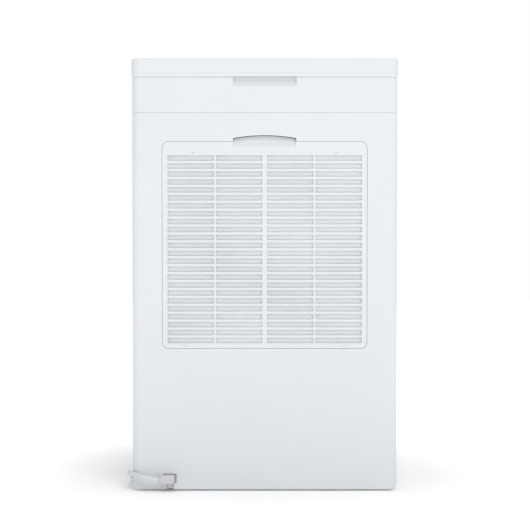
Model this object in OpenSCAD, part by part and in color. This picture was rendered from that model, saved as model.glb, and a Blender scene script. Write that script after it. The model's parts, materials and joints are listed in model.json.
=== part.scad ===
// Compressor dehumidifier on four casters.
// +Z is up, the origin is the middle of the floor under it. The intake side faces -Y and the
// bucket side faces +Y. Millimetres.

/* [Cabinet] */
// Width over the lid
lid_w = 380; // [372:1:390]
// Depth over the lid
lid_d = 284; // [282:1:290]
// Height from the floor to the top of the lid
total_h = 616; // [612:1:622]
// Height of the lid's skirt
lid_h = 25.8; // [22:0.2:28]
// Height of the band under the lid
collar_h = 50; // [46:1:54]
// Wall of the plastic shells
wall = 2.8; // [2.4:0.1:3.2]
// Radius of the cabinet's upright corners
corner_r = 12; // [10:1:14]
// Gap between the cabinet and the floor
floor_gap = 3; // [2:0.5:4]

/* [Intake cover] */
// Width of the intake cover
cover_w = 291.4; // [288:0.2:298]
// Height of the intake cover's lower edge
cover_z0 = 203.8; // [201:0.2:204]
// Height of the intake cover's upper edge
cover_z1 = 498.2; // [496:0.2:498]
// Rows of slots
slot_rows = 24; // [20:1:24]
// Distance from one row of slots to the next
slot_pitch = 11.28; // [11:0.01:11.4]
// Height of one slot
slot_h = 7.6; // [6:0.1:8]

/* [Bucket] */
// Width of the bucket
bucket_w = 316; // [300:1:320]
// Depth of the bucket
bucket_d = 146; // [140:1:148]
// Height of the bucket's floor
bucket_z0 = 61; // [60.5:0.5:62]
// Height of the bucket's rim
bucket_z1 = 198; // [190:1:200]

/* [Casters] */
// Radius of a wheel
wheel_r = 15; // [14:0.5:15]
// Width of a wheel
wheel_w = 16; // [14:0.5:17]
// Distance from the swivel axis back to the wheel's axle
trail = 8; // [6:0.5:8]
// Distance of each swivel axis from the middle, sideways
caster_x = 150; // [148:0.5:150]
// Distance of each swivel axis from the middle, front to back
caster_y = 101; // [98:0.5:101]

/* [Air path] */
// Number of blades in the blower wheel
blades = 36; // [24:2:40]
// Outer radius of the blower wheel
blower_r = 88; // [80:1:90]
// Number of fins in each coil
fins = 50; // [40:1:56]

/* [Hidden] */

// ---- Derived sizes ----
body_w = lid_w - 2;
body_d = lid_d - 4;
hw = body_w / 2;
hd = body_d / 2;
lid_z0 = total_h - lid_h;
collar_z1 = lid_z0 - 1;
collar_z0 = collar_z1 - collar_h;
seam = 0.6;                       // gap of a visible joint between two shells
housing_z1 = collar_z0 - seam;
split_y = 20;                     // where the rear and front housings meet
bottom_r = 8;                     // rounding of the cabinet's lower side edges
ring_h = 9;                       // height of the housings' inturned bottom flange
ring_w = 11;                      // width of that flange
pan_z0 = floor_gap + ring_h + 0.2;
pan_t = 3.8;

// Intake cover
cover_gap = 0.9;
cover_r = 9;
cover_depth = 12;
slot_x0 = 3.6;                    // inner edge of the inner slots
slot_x1 = 69.1;                   // outer edge of the inner slots
slot_x2 = 72.5;                   // inner edge of the outer slots
slot_x3 = 138;                    // outer edge of the outer slots
slot_top = cover_z1 - 19.7;       // upper edge of the top row
scoop_w = 89.4;                   // width of both finger recesses
scoop_in = 8;                     // depth of both finger recesses
arch_end = 4.8;                   // rise of the arch at its ends, above the cover's edge
arch_rise = 4;                    // further rise of the arch in the middle
dish_z0 = cover_z1 - 8;           // where the cover's finger dish starts
dish_gap = 3.4;                   // finger slot between the dish and the arch
snap_x = 102;
hook_x = 114;

// Bucket and its bay
bucket_y1 = 134;
bucket_y0 = bucket_y1 - bucket_d;
bay_x = 166;
bay_y0 = -22;
bay_z0 = 57.6;
bay_z1 = 246;
front_gap = 0.9;
front_w = 328;
front_z0 = 59.5;
front_z1 = 243.5;
handle_z = bucket_z1 - 8;
handle_y = 60;
handle_arm = 40;
float_x = -bucket_w / 2 + 12;
float_z = 178;

// Air outlet
outlet_w = 300;
outlet_z0 = 462;
outlet_z1 = 528;

// Refrigeration
coil_z0 = 222;
coil_z1 = 492;
coil_x = 126;
coil_t = 20;
evap_y = -111;
cond_y = -86;
tube_r = 4;
tube_rows = 9;
comp_x = -45;
comp_y = -76;
comp_r = 46;
foot_angles = [90, 210, 330];
accu_x = comp_x + comp_r + 28;
riser_x = 160;                    // pipes that run up beside the coils
low_y = comp_y;
comp_z0 = 30;
comp_z1 = 182;

// Blower
blower_x = 0;
blower_z = 372;
blower_y0 = -54;
blower_y1 = 0;
scroll_y0 = -62;
scroll_y1 = 8;
shaft_r = 4;
run_gap = 0.05;                   // radial clearance of a running fit

// Cord
cord_r = 3.8;
cord_y = -hd - 12.4;              // line of the cord across the cabinet's face
cord_side = -hw - 5.6;            // and along its side
cord_bend = 30;
lie_x = -hw - 6;
nose_tip = [-155.6, cord_y, 17.9];
nose_tilt = 78.6;
bend_heights = [19.75, 21.3, 22.8, 23.9, 24.4, 24.3, 23.4];
coil_c = [lie_x + 53, 206];
coil_r0 = 26.4;
coil_r1 = 56.8;
coil_h = 15.2;
tail_z = 11.4;
plug_x = coil_c[0] + 42;
plug_y = coil_c[1] + 53;
cord_route = concat(
  [nose_tip, nose_tip + 6 * [-sin(nose_tilt), 0, cos(nose_tilt)]],
  [for (i = [0:6]) [cord_side + cord_bend * (1 - sin(15 * i)), cord_y + cord_bend * (1 - cos(15 * i)),
                    bend_heights[i]]],
  [[cord_side, -108, 20.6], [cord_side, -94, 16.8], [cord_side, -80, 13], [cord_side, -66, 9.6],
   [cord_side, -52, 6.9], [cord_side - 0.1, -38, 5.2], [cord_side - 0.2, -24, 4.3], [lie_x, -8, 3.9],
   [lie_x, 20, 3.9],
   [lie_x, 60, 3.9], [lie_x, 100, 3.9], [lie_x, 140, 3.9], [lie_x, 177.2, 3.9]]
);

// Corners of the cabinet where the casters sit: [side, end, which way the wheel trails]
rear_left = [-1, -1, 1];
rear_right = [1, -1, -1];
front_left = [-1, 1, 1];
front_right = [1, 1, -1];

$fn = 64;

// ---- Shared shapes ----
module box(x0, x1, y0, y1, z0, z1) {
  translate([x0, y0, z0]) cube([x1 - x0, y1 - y0, z1 - z0]);
}

module rrect(w, d, r) {
  square([w - 2 * r, d], center = true);
  square([w, d - 2 * r], center = true);
  for (sx = [-1, 1], sy = [-1, 1])
    translate([sx * (w / 2 - r), sy * (d / 2 - r)]) circle(r);
}

// Upright rounded block, centred on the Z axis
module rblock(w, d, r, z0, z1) {
  translate([0, 0, z0]) linear_extrude(z1 - z0) rrect(w, d, r);
}

// Rounded plate standing in the XZ plane
module rplate(x, w, r, y0, y1, z0, z1) {
  translate([x, y1, (z0 + z1) / 2]) rotate([90, 0, 0])
    linear_extrude(y1 - y0) rrect(w, z1 - z0, r);
}

module cyl_z(x, y, r, z0, z1) {
  translate([x, y, z0]) cylinder(r = r, h = z1 - z0);
}

module cyl_y(x, z, r, y0, y1) {
  translate([x, y0, z]) rotate([-90, 0, 0]) cylinder(r = r, h = y1 - y0);
}

module cyl_x(y, z, r, x0, x1) {
  translate([x0, y, z]) rotate([0, 90, 0]) cylinder(r = r, h = x1 - x0);
}

module place(o, x, y, z) {
  multmatrix([[x[0], y[0], z[0], o[0]], [x[1], y[1], z[1], o[1]], [x[2], y[2], z[2], o[2]], [0, 0, 0, 1]])
    children();
}

// Pipe along points joined by straight runs that turn square, with rounded bends
module pipe(p, r, bend) {
  last = len(p) - 1;
  for (i = [0:last - 1]) let (
    d = (p[i + 1] - p[i]) / norm(p[i + 1] - p[i]),
    u = [d[1], d[2], d[0]],
    a = p[i] + (i > 0 ? bend : 0) * d,
    b = p[i + 1] - (i < last - 1 ? bend : 0) * d
  ) place(a, u, cross(d, u), d) cylinder(r = r, h = norm(b - a), $fn = 32);
  if (last > 1) for (i = [1:last - 1]) let (
    d = (p[i] - p[i - 1]) / norm(p[i] - p[i - 1]),
    e = (p[i + 1] - p[i]) / norm(p[i + 1] - p[i])
  ) place(p[i] + bend * (e - d), -e, d, cross(d, e))
    rotate_extrude(angle = 90) translate([bend, 0]) circle(r, $fn = 32);
}

// Wedge that hollows a face at y = 0: nothing at z0, d deep at z1 and up to z2
module scoop(w, d, z0, z1, z2) {
  rotate([90, 0, 90]) translate([0, 0, -w / 2]) linear_extrude(w)
    polygon([[-1, z0 - 1], [0, z0], [d, z1], [d, z2], [-1, z2]]);
}

// Outline of the arch above the intake cover, from z0 up, grown by g all round
module arch_outline(z0, g) {
  half = scoop_w / 2 + g;
  end_z = cover_z1 + arch_end;
  r = (pow(scoop_w / 2, 2) + arch_rise * arch_rise) / (2 * arch_rise);
  intersection() {
    translate([-half, z0]) square([2 * half, end_z + arch_rise + g + 1 - z0]);
    translate([0, end_z + arch_rise - r]) circle(r + g, $fn = 200);
  }
}

module arch_block(z0, g, y0, y1) {
  translate([0, y1, 0]) rotate([90, 0, 0]) linear_extrude(y1 - y0) arch_outline(z0, g);
}

// Outer form of the cabinet below the lid, with rounded lower side edges
module cabinet_form(z1) {
  intersection() {
    rblock(body_w, body_d, corner_r, floor_gap, z1);
    translate([0, 300, 0]) rotate([90, 0, 0]) linear_extrude(600) {
      translate([-hw, floor_gap + bottom_r]) square([body_w, z1]);
      translate([-hw + bottom_r, floor_gap]) square([body_w - 2 * bottom_r, bottom_r]);
      for (s = [-1, 1]) translate([s * (hw - bottom_r), floor_gap + bottom_r]) circle(bottom_r);
    }
  }
}

// Hollow cabinet wall with its inturned bottom flange
module cabinet_shell(z1) {
  difference() {
    cabinet_form(z1);
    rblock(body_w - 2 * wall, body_d - 2 * wall, corner_r - wall, floor_gap + ring_h, z1 + 1);
    rblock(body_w - 2 * ring_w, body_d - 2 * ring_w, 4, floor_gap - 1, floor_gap + ring_h + 1);
  }
}

screw_x = [-90, 0, 90];
module at_base_screws(end) {
  for (x = screw_x) translate([x, end * (hd - ring_w / 2 - 0.6), 0]) children();
}

module screw_holes(end) {
  at_base_screws(end) {
    cyl_z(0, 0, 2.3, floor_gap - 1, floor_gap + ring_h + 1);
    cyl_z(0, 0, 4.4, floor_gap - 1, floor_gap + 3);
  }
}

// ---- Shells ----
module base_pan() {
  well_r = 27;
  color("white") difference() {
    union() {
      rblock(body_w - 2 * wall - 0.6, body_d - 2 * wall - 0.6, corner_r - wall, pan_z0, pan_z0 + pan_t);
      difference() {
        rblock(body_w - 2 * wall - 0.6, body_d - 2 * wall - 0.6, corner_r - wall, pan_z0, 34);
        rblock(body_w - 2 * wall - 5, body_d - 2 * wall - 5, corner_r - wall - 2, pan_z0, 35);
      }
      for (sx = [-1, 1], sy = [-1, 1]) {
        cyl_z(sx * caster_x, sy * caster_y, well_r, pan_z0, 40);
        cyl_z(sx * caster_x, sy * caster_y, 9, 39, 54);
      }
      intersection() {
        for (s = [-1, 1]) at_base_screws(s) cyl_z(0, 0, 4.4, pan_z0, 26);
        rblock(body_w - 2 * wall - 0.6, body_d - 2 * wall - 0.6, corner_r - wall, pan_z0, 34);
      }
      for (x = [-90, 0, 90]) box(x - 2, x + 2, -18, 130, pan_z0, bay_z0 - 0.2);
    }
    for (sx = [-1, 1], sy = [-1, 1]) {
      cyl_z(sx * caster_x, sy * caster_y, well_r - 2, 3, 37);
      cyl_z(sx * caster_x, sy * caster_y, shaft_r + run_gap, 30, 52);
    }
    for (s = [-1, 1]) at_base_screws(s) cyl_z(0, 0, 2.1, pan_z0 - 1, 22);
    for (a = foot_angles) translate([comp_x, comp_y, 0]) rotate([0, 0, a])
      cyl_z(comp_r + 8, 0, 2.6, pan_z0 - 1, 20);
    box(-144, -126, -hd, -hd + ring_w + 1, pan_z0 - 1, 25);
  }
}

spout_y = -54;
spout_z = 186;
module rear_housing() {
  lip = 2.1;
  arch_top = cover_z1 + arch_end + arch_rise;
  open_w = cover_w + 2 * cover_gap;
  open_z0 = cover_z0 - cover_gap;
  open_z1 = cover_z1 + cover_gap;
  color("white") difference() {
    union() {
      difference() {
        cabinet_shell(housing_z1);
        box(-200, 200, split_y - 0.1, 200, 0, 700);
      }
      // return lip round the opening, with a stop flange behind the cover
      rplate(0, open_w + 2 * lip, cover_r + cover_gap + lip, -hd + 1, -hd + 16, open_z0 - lip, open_z1 + lip);
      // pocket behind the arch, for the fingertips
      box(-scoop_w / 2 - 3, scoop_w / 2 + 3, -hd + 1, -hd + 22, open_z1 - 2, arch_top + 9);
      // hollow boss round the drain spout
      cyl_x(spout_y, spout_z, 23, hw - 22, hw - 1);
    }
    rplate(0, open_w, cover_r + cover_gap, -hd - 1, -hd + cover_depth + 1.6, open_z0, open_z1);
    rplate(0, cover_w - 14, cover_r - 3, -hd - 1, -hd + 17, cover_z0 + 7, cover_z1 - 7);
    arch_block(open_z1 - 3, 0, -hd - 1, -hd + 3);
    box(-scoop_w / 2 - 1, scoop_w / 2 + 1, -hd + wall, -hd + 20, open_z1 - 12, arch_top + 7);
    for (s = [-1, 1]) {
      box(s * hook_x - 7, s * hook_x + 7, -hd + 5, -hd + 13.6, open_z0 - 4, open_z0 + 1);
    }
    cyl_x(spout_y, spout_z, 20.5, hw - 20, hw + 1);
    cyl_x(spout_y, spout_z, 9, hw - 24, hw + 1);
    // notch for the cord's boot, open at the bottom
    box(-144, -126, -hd - 1, -hd + ring_w + 1, 11.4, 24.6);
    box(-139, -130.4, -hd - 1, -hd + ring_w + 1, floor_gap - 1, 12);
    screw_holes(-1);
  }
}

module front_housing() {
  color("white") difference() {
    cabinet_shell(housing_z1);
    box(-200, 200, -200, split_y + 0.1, 0, 700);
    rplate(0, front_w + 2 * front_gap, 10, hd - 10, hd + 1, front_z0 - front_gap, front_z1 + front_gap);
    rplate(0, outlet_w + 1, 6.5, hd - 10, hd + 1, outlet_z0 - 0.5, outlet_z1 + 0.5);
    screw_holes(1);
  }
}

module top_collar() {
  z0 = collar_z0;
  z1 = collar_z1;
  pocket = scoop_in + 3;
  color("white") difference() {
    union() {
      difference() {
        rblock(body_w, body_d, corner_r, z0, z1);
        rblock(body_w - 2 * wall, body_d - 2 * wall, corner_r - wall, z0 - 1, z1 + 1);
      }
      // material behind the three finger recesses
      box(-scoop_w / 2 - 3, scoop_w / 2 + 3, -hd + 1, -hd + pocket, z1 - 18, z1);
      for (s = [-1, 1]) {
        box(s * (hw - pocket / 2 - 0.5) - pocket / 2 + 0.5, s * (hw - pocket / 2 - 0.5) + pocket / 2 - 0.5,
            -scoop_w / 2 - 3, scoop_w / 2 + 3, z1 - 18, z1);
      }
    }
    translate([0, -hd, 0]) scoop(scoop_w, scoop_in, z1 - 13, z1 - 2, z1 + 1);
    translate([hw, 0, 0]) rotate([0, 0, 90]) scoop(scoop_w, scoop_in, z1 - 13, z1 - 2, z1 + 1);
    translate([-hw, 0, 0]) rotate([0, 0, -90]) scoop(scoop_w, scoop_in, z1 - 13, z1 - 2, z1 + 1);
  }
}

// Places of the five buttons on the lid
button_x = [-64, -42, 42, 64, 86];
button_y = 92;
button_r = 7;
panel_y0 = 66;
panel_y1 = 118;
panel_w = 240;
board_z = total_h - 18;

module top_lid() {
  lid_t = 3.2;
  color("white") difference() {
    union() {
      rblock(lid_w, lid_d, corner_r + 1, lid_z0, total_h);
    }
    difference() {
      rblock(lid_w - 2 * wall, lid_d - 2 * wall, corner_r + 1 - wall, lid_z0 - 1, total_h - lid_t);
      for (x = [-104, 104], y = [64, 120]) cyl_z(x, y, 4, board_z + 1.7, total_h);
    }
    for (x = [-104, 104], y = [64, 120]) cyl_z(x, y, 1.4, board_z, total_h - 6);
    // seat for the control panel, with a hole under it for the buttons
    translate([0, (panel_y0 + panel_y1) / 2, 0])
      rblock(panel_w + 0.6, panel_y1 - panel_y0 + 0.6, 8.3, total_h - 1.6, total_h + 1);
    translate([0, (panel_y0 + panel_y1) / 2, 0])
      rblock(panel_w - 16, panel_y1 - panel_y0 - 16, 4, lid_z0, total_h + 1);
    // shadow groove round the skirt
    difference() {
      rblock(lid_w + 2, lid_d + 2, corner_r + 2, lid_z0 + 5.2, lid_z0 + 5.8);
      rblock(lid_w - 0.8, lid_d - 0.8, corner_r + 0.6, lid_z0 + 5, lid_z0 + 6);
    }
  }
}

module control_panel() {
  color("dimgray") difference() {
    translate([0, (panel_y0 + panel_y1) / 2, 0])
      rblock(panel_w, panel_y1 - panel_y0, 8, total_h - 1.6, total_h - 0.1);
    for (x = button_x) cyl_z(x, button_y, button_r + 0.3, total_h - 4, total_h + 1);
    box(-24.2, 24.2, 80.8, 103.2, total_h - 4, total_h + 1);
  }
}

module display_window() {
  color("black", 0.6) box(-24, 24, 81, 103, total_h - 1.5, total_h - 0.3);
}

module panel_button(x) {
  color("gainsboro") {
    difference() {
      cyl_z(x, button_y, button_r, total_h - 7, total_h + 0);
      translate([x, button_y, total_h + 17.6]) sphere(18);
    }
    cyl_z(x, button_y, 2, total_h - 10, total_h - 7);
  }
}

module control_board() {
  z = board_z + 1.6;
  color("darkgreen") difference() {
    box(-110, 110, 58, 126, board_z, z);
    for (x = [-104, 104], y = [64, 120]) cyl_z(x, y, 1.7, board_z - 1, z + 1);
  }
  color("black") {
    for (x = button_x) box(x - 3, x + 3, button_y - 3, button_y + 3, z, total_h - 11.2);
    box(-23, 23, 82, 102, z, total_h - 4);
    box(-90, -60, 62, 76, z, z + 4);
  }
}

module outlet_louvre() {
  slats = 7;
  pitch = (outlet_z1 - outlet_z0 - 8) / slats;
  color("white") {
    difference() {
      rplate(0, outlet_w, 6, hd - 16, hd - 0.4, outlet_z0, outlet_z1);
      rplate(0, outlet_w - 8, 3, hd - 17, hd + 1, outlet_z0 + 4, outlet_z1 - 4);
    }
    for (i = [0:slats - 1]) translate([0, hd - 8, outlet_z0 + 4 + pitch * (i + 0.5)])
      rotate([30, 0, 0]) cube([outlet_w - 6, 14, 2], center = true);
    for (x = [-98, -49, 0, 49, 98]) box(x - 1.2, x + 1.2, hd - 15, hd - 5, outlet_z0 + 2, outlet_z1 - 2);
  }
}

module bucket_bay() {
  color("whitesmoke") difference() {
    box(-bay_x - 2, bay_x + 2, bay_y0 - 2, hd - 8, bay_z0, bay_z1 + 2);
    box(-bay_x, bay_x, bay_y0, hd - 7, bay_z0 + 2, bay_z1);
    box(-18, 18, bay_y0 - 3, bay_y0 + 1, 203, 226);
    box(-130, -106, bay_y0 - 3, bay_y0 + 1, 176, 196);
  }
  color("whitesmoke") for (s = [-1, 1])
    box(s * 120 - 3, s * 120 + 3, bay_y0, hd - 14, bay_z0 + 2, bucket_z0 - 0.4);
}

// ---- Refrigeration ----
module drip_tray() {
  color("lightgray") {
    difference() {
      box(-136, 136, -123.4, -72, 206, 220);
      box(-134, 134, -121.4, -74, 208, 221);
      box(-12, 12, -75, -70, 209, 221);
      cyl_z(124, -98, 4, 205, 209);
    }
    // channel that leads the water forward over the bucket
    difference() {
      box(-14, 14, -72, 4, 206, 220);
      box(-12, 12, -75, 5, 208, 221);
      box(-6, 6, -6, 3, 205, 210);
    }
  }
}

function tube_z(i) = coil_z0 + 15 + i * (coil_z1 - coil_z0 - 30) / (tube_rows - 1);

module coil_fins(y) {
  pitch = 2 * coil_x / (fins - 1);
  color("silver") for (i = [0:fins - 1])
    translate([-coil_x + i * pitch, y, 0]) rotate([90, 0, 90]) linear_extrude(0.4) difference() {
      translate([-coil_t / 2, coil_z0]) square([coil_t, coil_z1 - coil_z0]);
      for (j = [0:tube_rows - 1]) translate([0, tube_z(j)]) circle(tube_r + 0.1, $fn = 24);
    }
}

// One long tube, bent back on itself at each end
module coil_tubes(y) {
  end_x = coil_x + 5;
  rise = tube_z(1) - tube_z(0);
  color("peru") for (j = [0:tube_rows - 1]) {
    cyl_x(y, tube_z(j), tube_r, -end_x, end_x);
    if (j < tube_rows - 1)
      translate([(j % 2 == 0 ? 1 : -1) * end_x, y, tube_z(j) + rise / 2])
        rotate([90, 0, j % 2 == 0 ? 0 : 180]) rotate([0, 0, -90])
          rotate_extrude(angle = 180) translate([rise / 2, 0]) circle(tube_r, $fn = 24);
  }
}

module evaporator_fins() coil_fins(evap_y);
module evaporator_tubes() mirror([1, 0, 0]) coil_tubes(evap_y);
module condenser_fins() coil_fins(cond_y);
module condenser_tubes() mirror([1, 0, 0]) coil_tubes(cond_y);

module compressor() {
  color("black") translate([comp_x, comp_y, 0]) {
    rotate_extrude() polygon([
      [0, comp_z0], [comp_r - 10, comp_z0], [comp_r - 3, comp_z0 + 4], [comp_r, comp_z0 + 12],
      [comp_r, comp_z1 - 16], [comp_r - 4, comp_z1 - 6], [comp_r - 14, comp_z1], [0, comp_z1]
    ]);
    for (a = foot_angles) rotate([0, 0, a]) difference() {
      translate([comp_r - 12, -11, comp_z0 - 2]) cube([28, 22, 3]);
      cyl_z(comp_r + 8, 0, 5, 20, 40);
    }
    cyl_z(0, 0, 15, comp_z1 - 1, comp_z1 + 9);
  }
}

module accumulator() {
  color("dimgray") translate([accu_x, comp_y, 0]) rotate_extrude()
    polygon([[0, 74], [8, 74], [20, 84], [20, 158], [8, 168], [0, 168]]);
}

module compressor_grommets() {
  color("black") for (a = foot_angles) translate([comp_x, comp_y, 0]) rotate([0, 0, a])
    difference() {
      union() {
        cyl_z(comp_r + 8, 0, 9, pan_z0 + pan_t, comp_z0 - 2);
        cyl_z(comp_r + 8, 0, 4.9, comp_z0 - 2, comp_z0 + 1);
        cyl_z(comp_r + 8, 0, 8, comp_z0 + 1, comp_z0 + 5);
      }
      cyl_z(comp_r + 8, 0, 3.2, pan_z0, comp_z0 + 6);
    }
}

module compressor_bolts() {
  color("silver") for (a = foot_angles) translate([comp_x, comp_y, 0]) rotate([0, 0, a]) {
    cyl_z(comp_r + 8, 0, 2.5, pan_z0 - 2, comp_z0 + 5);
    translate([comp_r + 8, 0, comp_z0 + 5]) cylinder(r = 5.5, h = 4, $fn = 6);
    cyl_z(comp_r + 8, 0, 5.5, pan_z0 - 3, pan_z0);
  }
}

module copper_pipes() {
  in_z = tube_z(0);
  out_z = tube_z(tube_rows - 1);
  end_x = coil_x + 5;
  color("peru") {
    // suction: evaporator to accumulator, and on into the compressor
    pipe([[-end_x, evap_y, out_z], [-riser_x, evap_y, out_z], [-riser_x, evap_y, 194],
          [accu_x, evap_y, 194], [accu_x, low_y, 194], [accu_x, low_y, 168]], 4, 10);
    pipe([[accu_x, low_y, 74], [accu_x, low_y, 56], [comp_x + comp_r, low_y, 56]], 4, 9);
    // discharge: compressor to condenser
    pipe([[comp_x - 23, cond_y, comp_z1], [comp_x - 23, cond_y, 197], [-riser_x, cond_y, 197],
          [-riser_x, cond_y, out_z], [-end_x, cond_y, out_z]], 3.5, 9);
    // liquid: condenser to the drier
    pipe([[end_x, cond_y, in_z], [riser_x + 2, cond_y, in_z], [riser_x + 2, cond_y, 254]], 3.5, 8);
    // capillary: drier to evaporator, coiled up on the way
    cyl_z(riser_x + 2, cond_y, 1.5, 314, 333.5);
    for (i = [0:4]) translate([riser_x + 2, (cond_y + evap_y) / 2, 335 + 3.1 * i])
      rotate_extrude() translate([(cond_y - evap_y) / 2, 0]) circle(1.5, $fn = 16);
    pipe([[riser_x + 2, evap_y, 333.5], [riser_x + 2, evap_y, in_z], [end_x, evap_y, in_z]], 1.5, 8);
  }
}

module filter_drier() {
  color("peru") translate([riser_x + 2, cond_y, 0]) rotate_extrude()
    polygon([[0, 254], [4.5, 254], [8, 262], [8, 304], [2.5, 314], [0, 314]]);
}

// ---- Blower ----
scroll_steps = 24;
function scroll_r(a) = 98 + 34 * a / 270;
function scroll_points(grow) = [
  for (i = [0:scroll_steps]) let (a = 270 * i / scroll_steps)
    [-(scroll_r(a) + grow) * cos(a), -(scroll_r(a) + grow) * sin(a) ]
];

// Spiral outline round the blower, open into the mouth above it
module scroll_outline(grow) {
  top = housing_z1 - 8 - blower_z + grow;
  polygon(concat(scroll_points(grow), [
    [60, scroll_r(270) + grow], [60, top], [-98 - grow, top]
  ]));
}

module scroll_body() {
  difference() {
    translate([blower_x, scroll_y1, blower_z]) rotate([90, 0, 0])
      linear_extrude(scroll_y1 - scroll_y0) scroll_outline(2);
    translate([blower_x, scroll_y1 - 2, blower_z]) rotate([90, 0, 0])
      linear_extrude(scroll_y1 - scroll_y0 - 4) scroll_outline(0);
  }
}

module fan_scroll() {
  color("whitesmoke") difference() {
    scroll_body();
    cyl_y(blower_x, blower_z, 70, scroll_y0 - 1, scroll_y0 + 3);
    cyl_y(blower_x, blower_z, 20, scroll_y1 - 3, scroll_y1 + 1);
    box(-92, 52, scroll_y1 - 3, scroll_y1 + 1, 478, 524);
  }
}

module outlet_duct() {
  color("whitesmoke") difference() {
    box(-outlet_w / 2 - 4, outlet_w / 2 + 4, scroll_y1 + 0.2, hd - 16.4, outlet_z0 - 4, outlet_z1 + 4);
    box(-outlet_w / 2 - 2, outlet_w / 2 + 2, scroll_y1 + 2.2, hd - 15, outlet_z0 - 2, outlet_z1 + 2);
    box(-92, 52, scroll_y1 - 1, scroll_y1 + 3, 478, 524);
  }
}

module blower_wheel() {
  color("dimgray") translate([blower_x, 0, blower_z]) rotate([90, 0, 0]) {
    translate([0, 0, -blower_y1]) cylinder(r = blower_r, h = 2);
    translate([0, 0, -blower_y0 - 3]) difference() {
      cylinder(r = blower_r, h = 3);
      translate([0, 0, -1]) cylinder(r = blower_r - 16, h = 5);
    }
    for (i = [0:blades - 1]) rotate([0, 0, 360 * i / blades])
      translate([blower_r - 16, 0, -blower_y1]) linear_extrude(blower_y1 - blower_y0)
        polygon([[0.5, 0], [8, 2.4], [15, 6.6], [15, 8], [7.4, 4], [0.5, 1.4]]);
    translate([0, 0, -blower_y1]) cylinder(r = 14, h = 26);
  }
  color("silver") cyl_y(blower_x, blower_z, shaft_r, blower_y1, 30);
}

module fan_motor() {
  color("silver") difference() {
    union() {
      cyl_y(blower_x, blower_z, 38, 14, 62);
      cyl_y(blower_x, blower_z, 42, 34, 40);
      cyl_y(blower_x, blower_z, 18, scroll_y1 + 1, 14);
      for (a = [45, 135, 225, 315]) translate([blower_x, 0, blower_z]) rotate([0, a, 0])
        box(36, 56, scroll_y1 + 0.2, 16, -5, 5);
    }
    cyl_y(blower_x, blower_z, shaft_r + run_gap, scroll_y1 - 1, 34);
  }
}

module run_capacitor() {
  x = accu_x + 58;
  color("white") cyl_z(x, low_y, 16, 44, 112);
  color("black") cyl_z(x, low_y, 14, 112, 118);
  color("silver") difference() {
    box(x - 18, x + 18, low_y - 18, low_y + 18, pan_z0 + pan_t, 44);
    box(x - 16, x + 16, low_y - 19, low_y + 19, pan_z0 + pan_t + 2, 42);
  }
}

module humidity_sensor() {
  color("green") box(156, 170, -hd + 3.4, -hd + 5, 420, 444);
  color("white") box(159, 167, -hd + 5, -hd + 8.4, 426, 436);
}

module bucket_switch() {
  color("black") box(-128, -108, bay_y0 - 12, bay_y0 - 2.2, 178, 194);
  color("red") box(-120, -116, bay_y0 - 2.2, bucket_y0 - 0.4, 184, 188);
}

module drain_spout() {
  color("gray") difference() {
    union() {
      cyl_x(spout_y, spout_z, 6.5, hw - 20, hw - 1);
      cyl_x(spout_y, spout_z, 8.9, hw - 22.1, hw - 20);
      cyl_x(spout_y, spout_z, 12, hw - 24.4, hw - 22.1);
    }
    cyl_x(spout_y, spout_z, 4.6, hw - 25, hw);
  }
}

module drain_hose() {
  color("dimgray") pipe([[124, -98, 206], [124, -98, spout_z], [124, spout_y, spout_z],
                         [hw - 24.4, spout_y, spout_z]], 5.4, 10);
}

module base_screws() {
  color("silver") for (s = [-1, 1]) at_base_screws(s) difference() {
    union() {
      cyl_z(0, 0, 4, floor_gap + 0.4, floor_gap + 3);
      cyl_z(0, 0, 2, floor_gap + 3, 20);
    }
    box(-2.6, 2.6, -0.5, 0.5, floor_gap, floor_gap + 1.6);
    box(-0.5, 0.5, -2.6, 2.6, floor_gap, floor_gap + 1.6);
  }
}

// ---- Intake cover and filter ----
module cover_slots(y0, y1) {
  for (i = [0:slot_rows - 1]) let (z1 = slot_top - i * slot_pitch)
    for (s = [-1, 1]) {
      box(min(s * slot_x0, s * slot_x1), max(s * slot_x0, s * slot_x1), y0, y1, z1 - slot_h, z1);
      box(min(s * slot_x2, s * slot_x3), max(s * slot_x2, s * slot_x3), y0, y1, z1 - slot_h, z1);
    }
}

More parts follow.
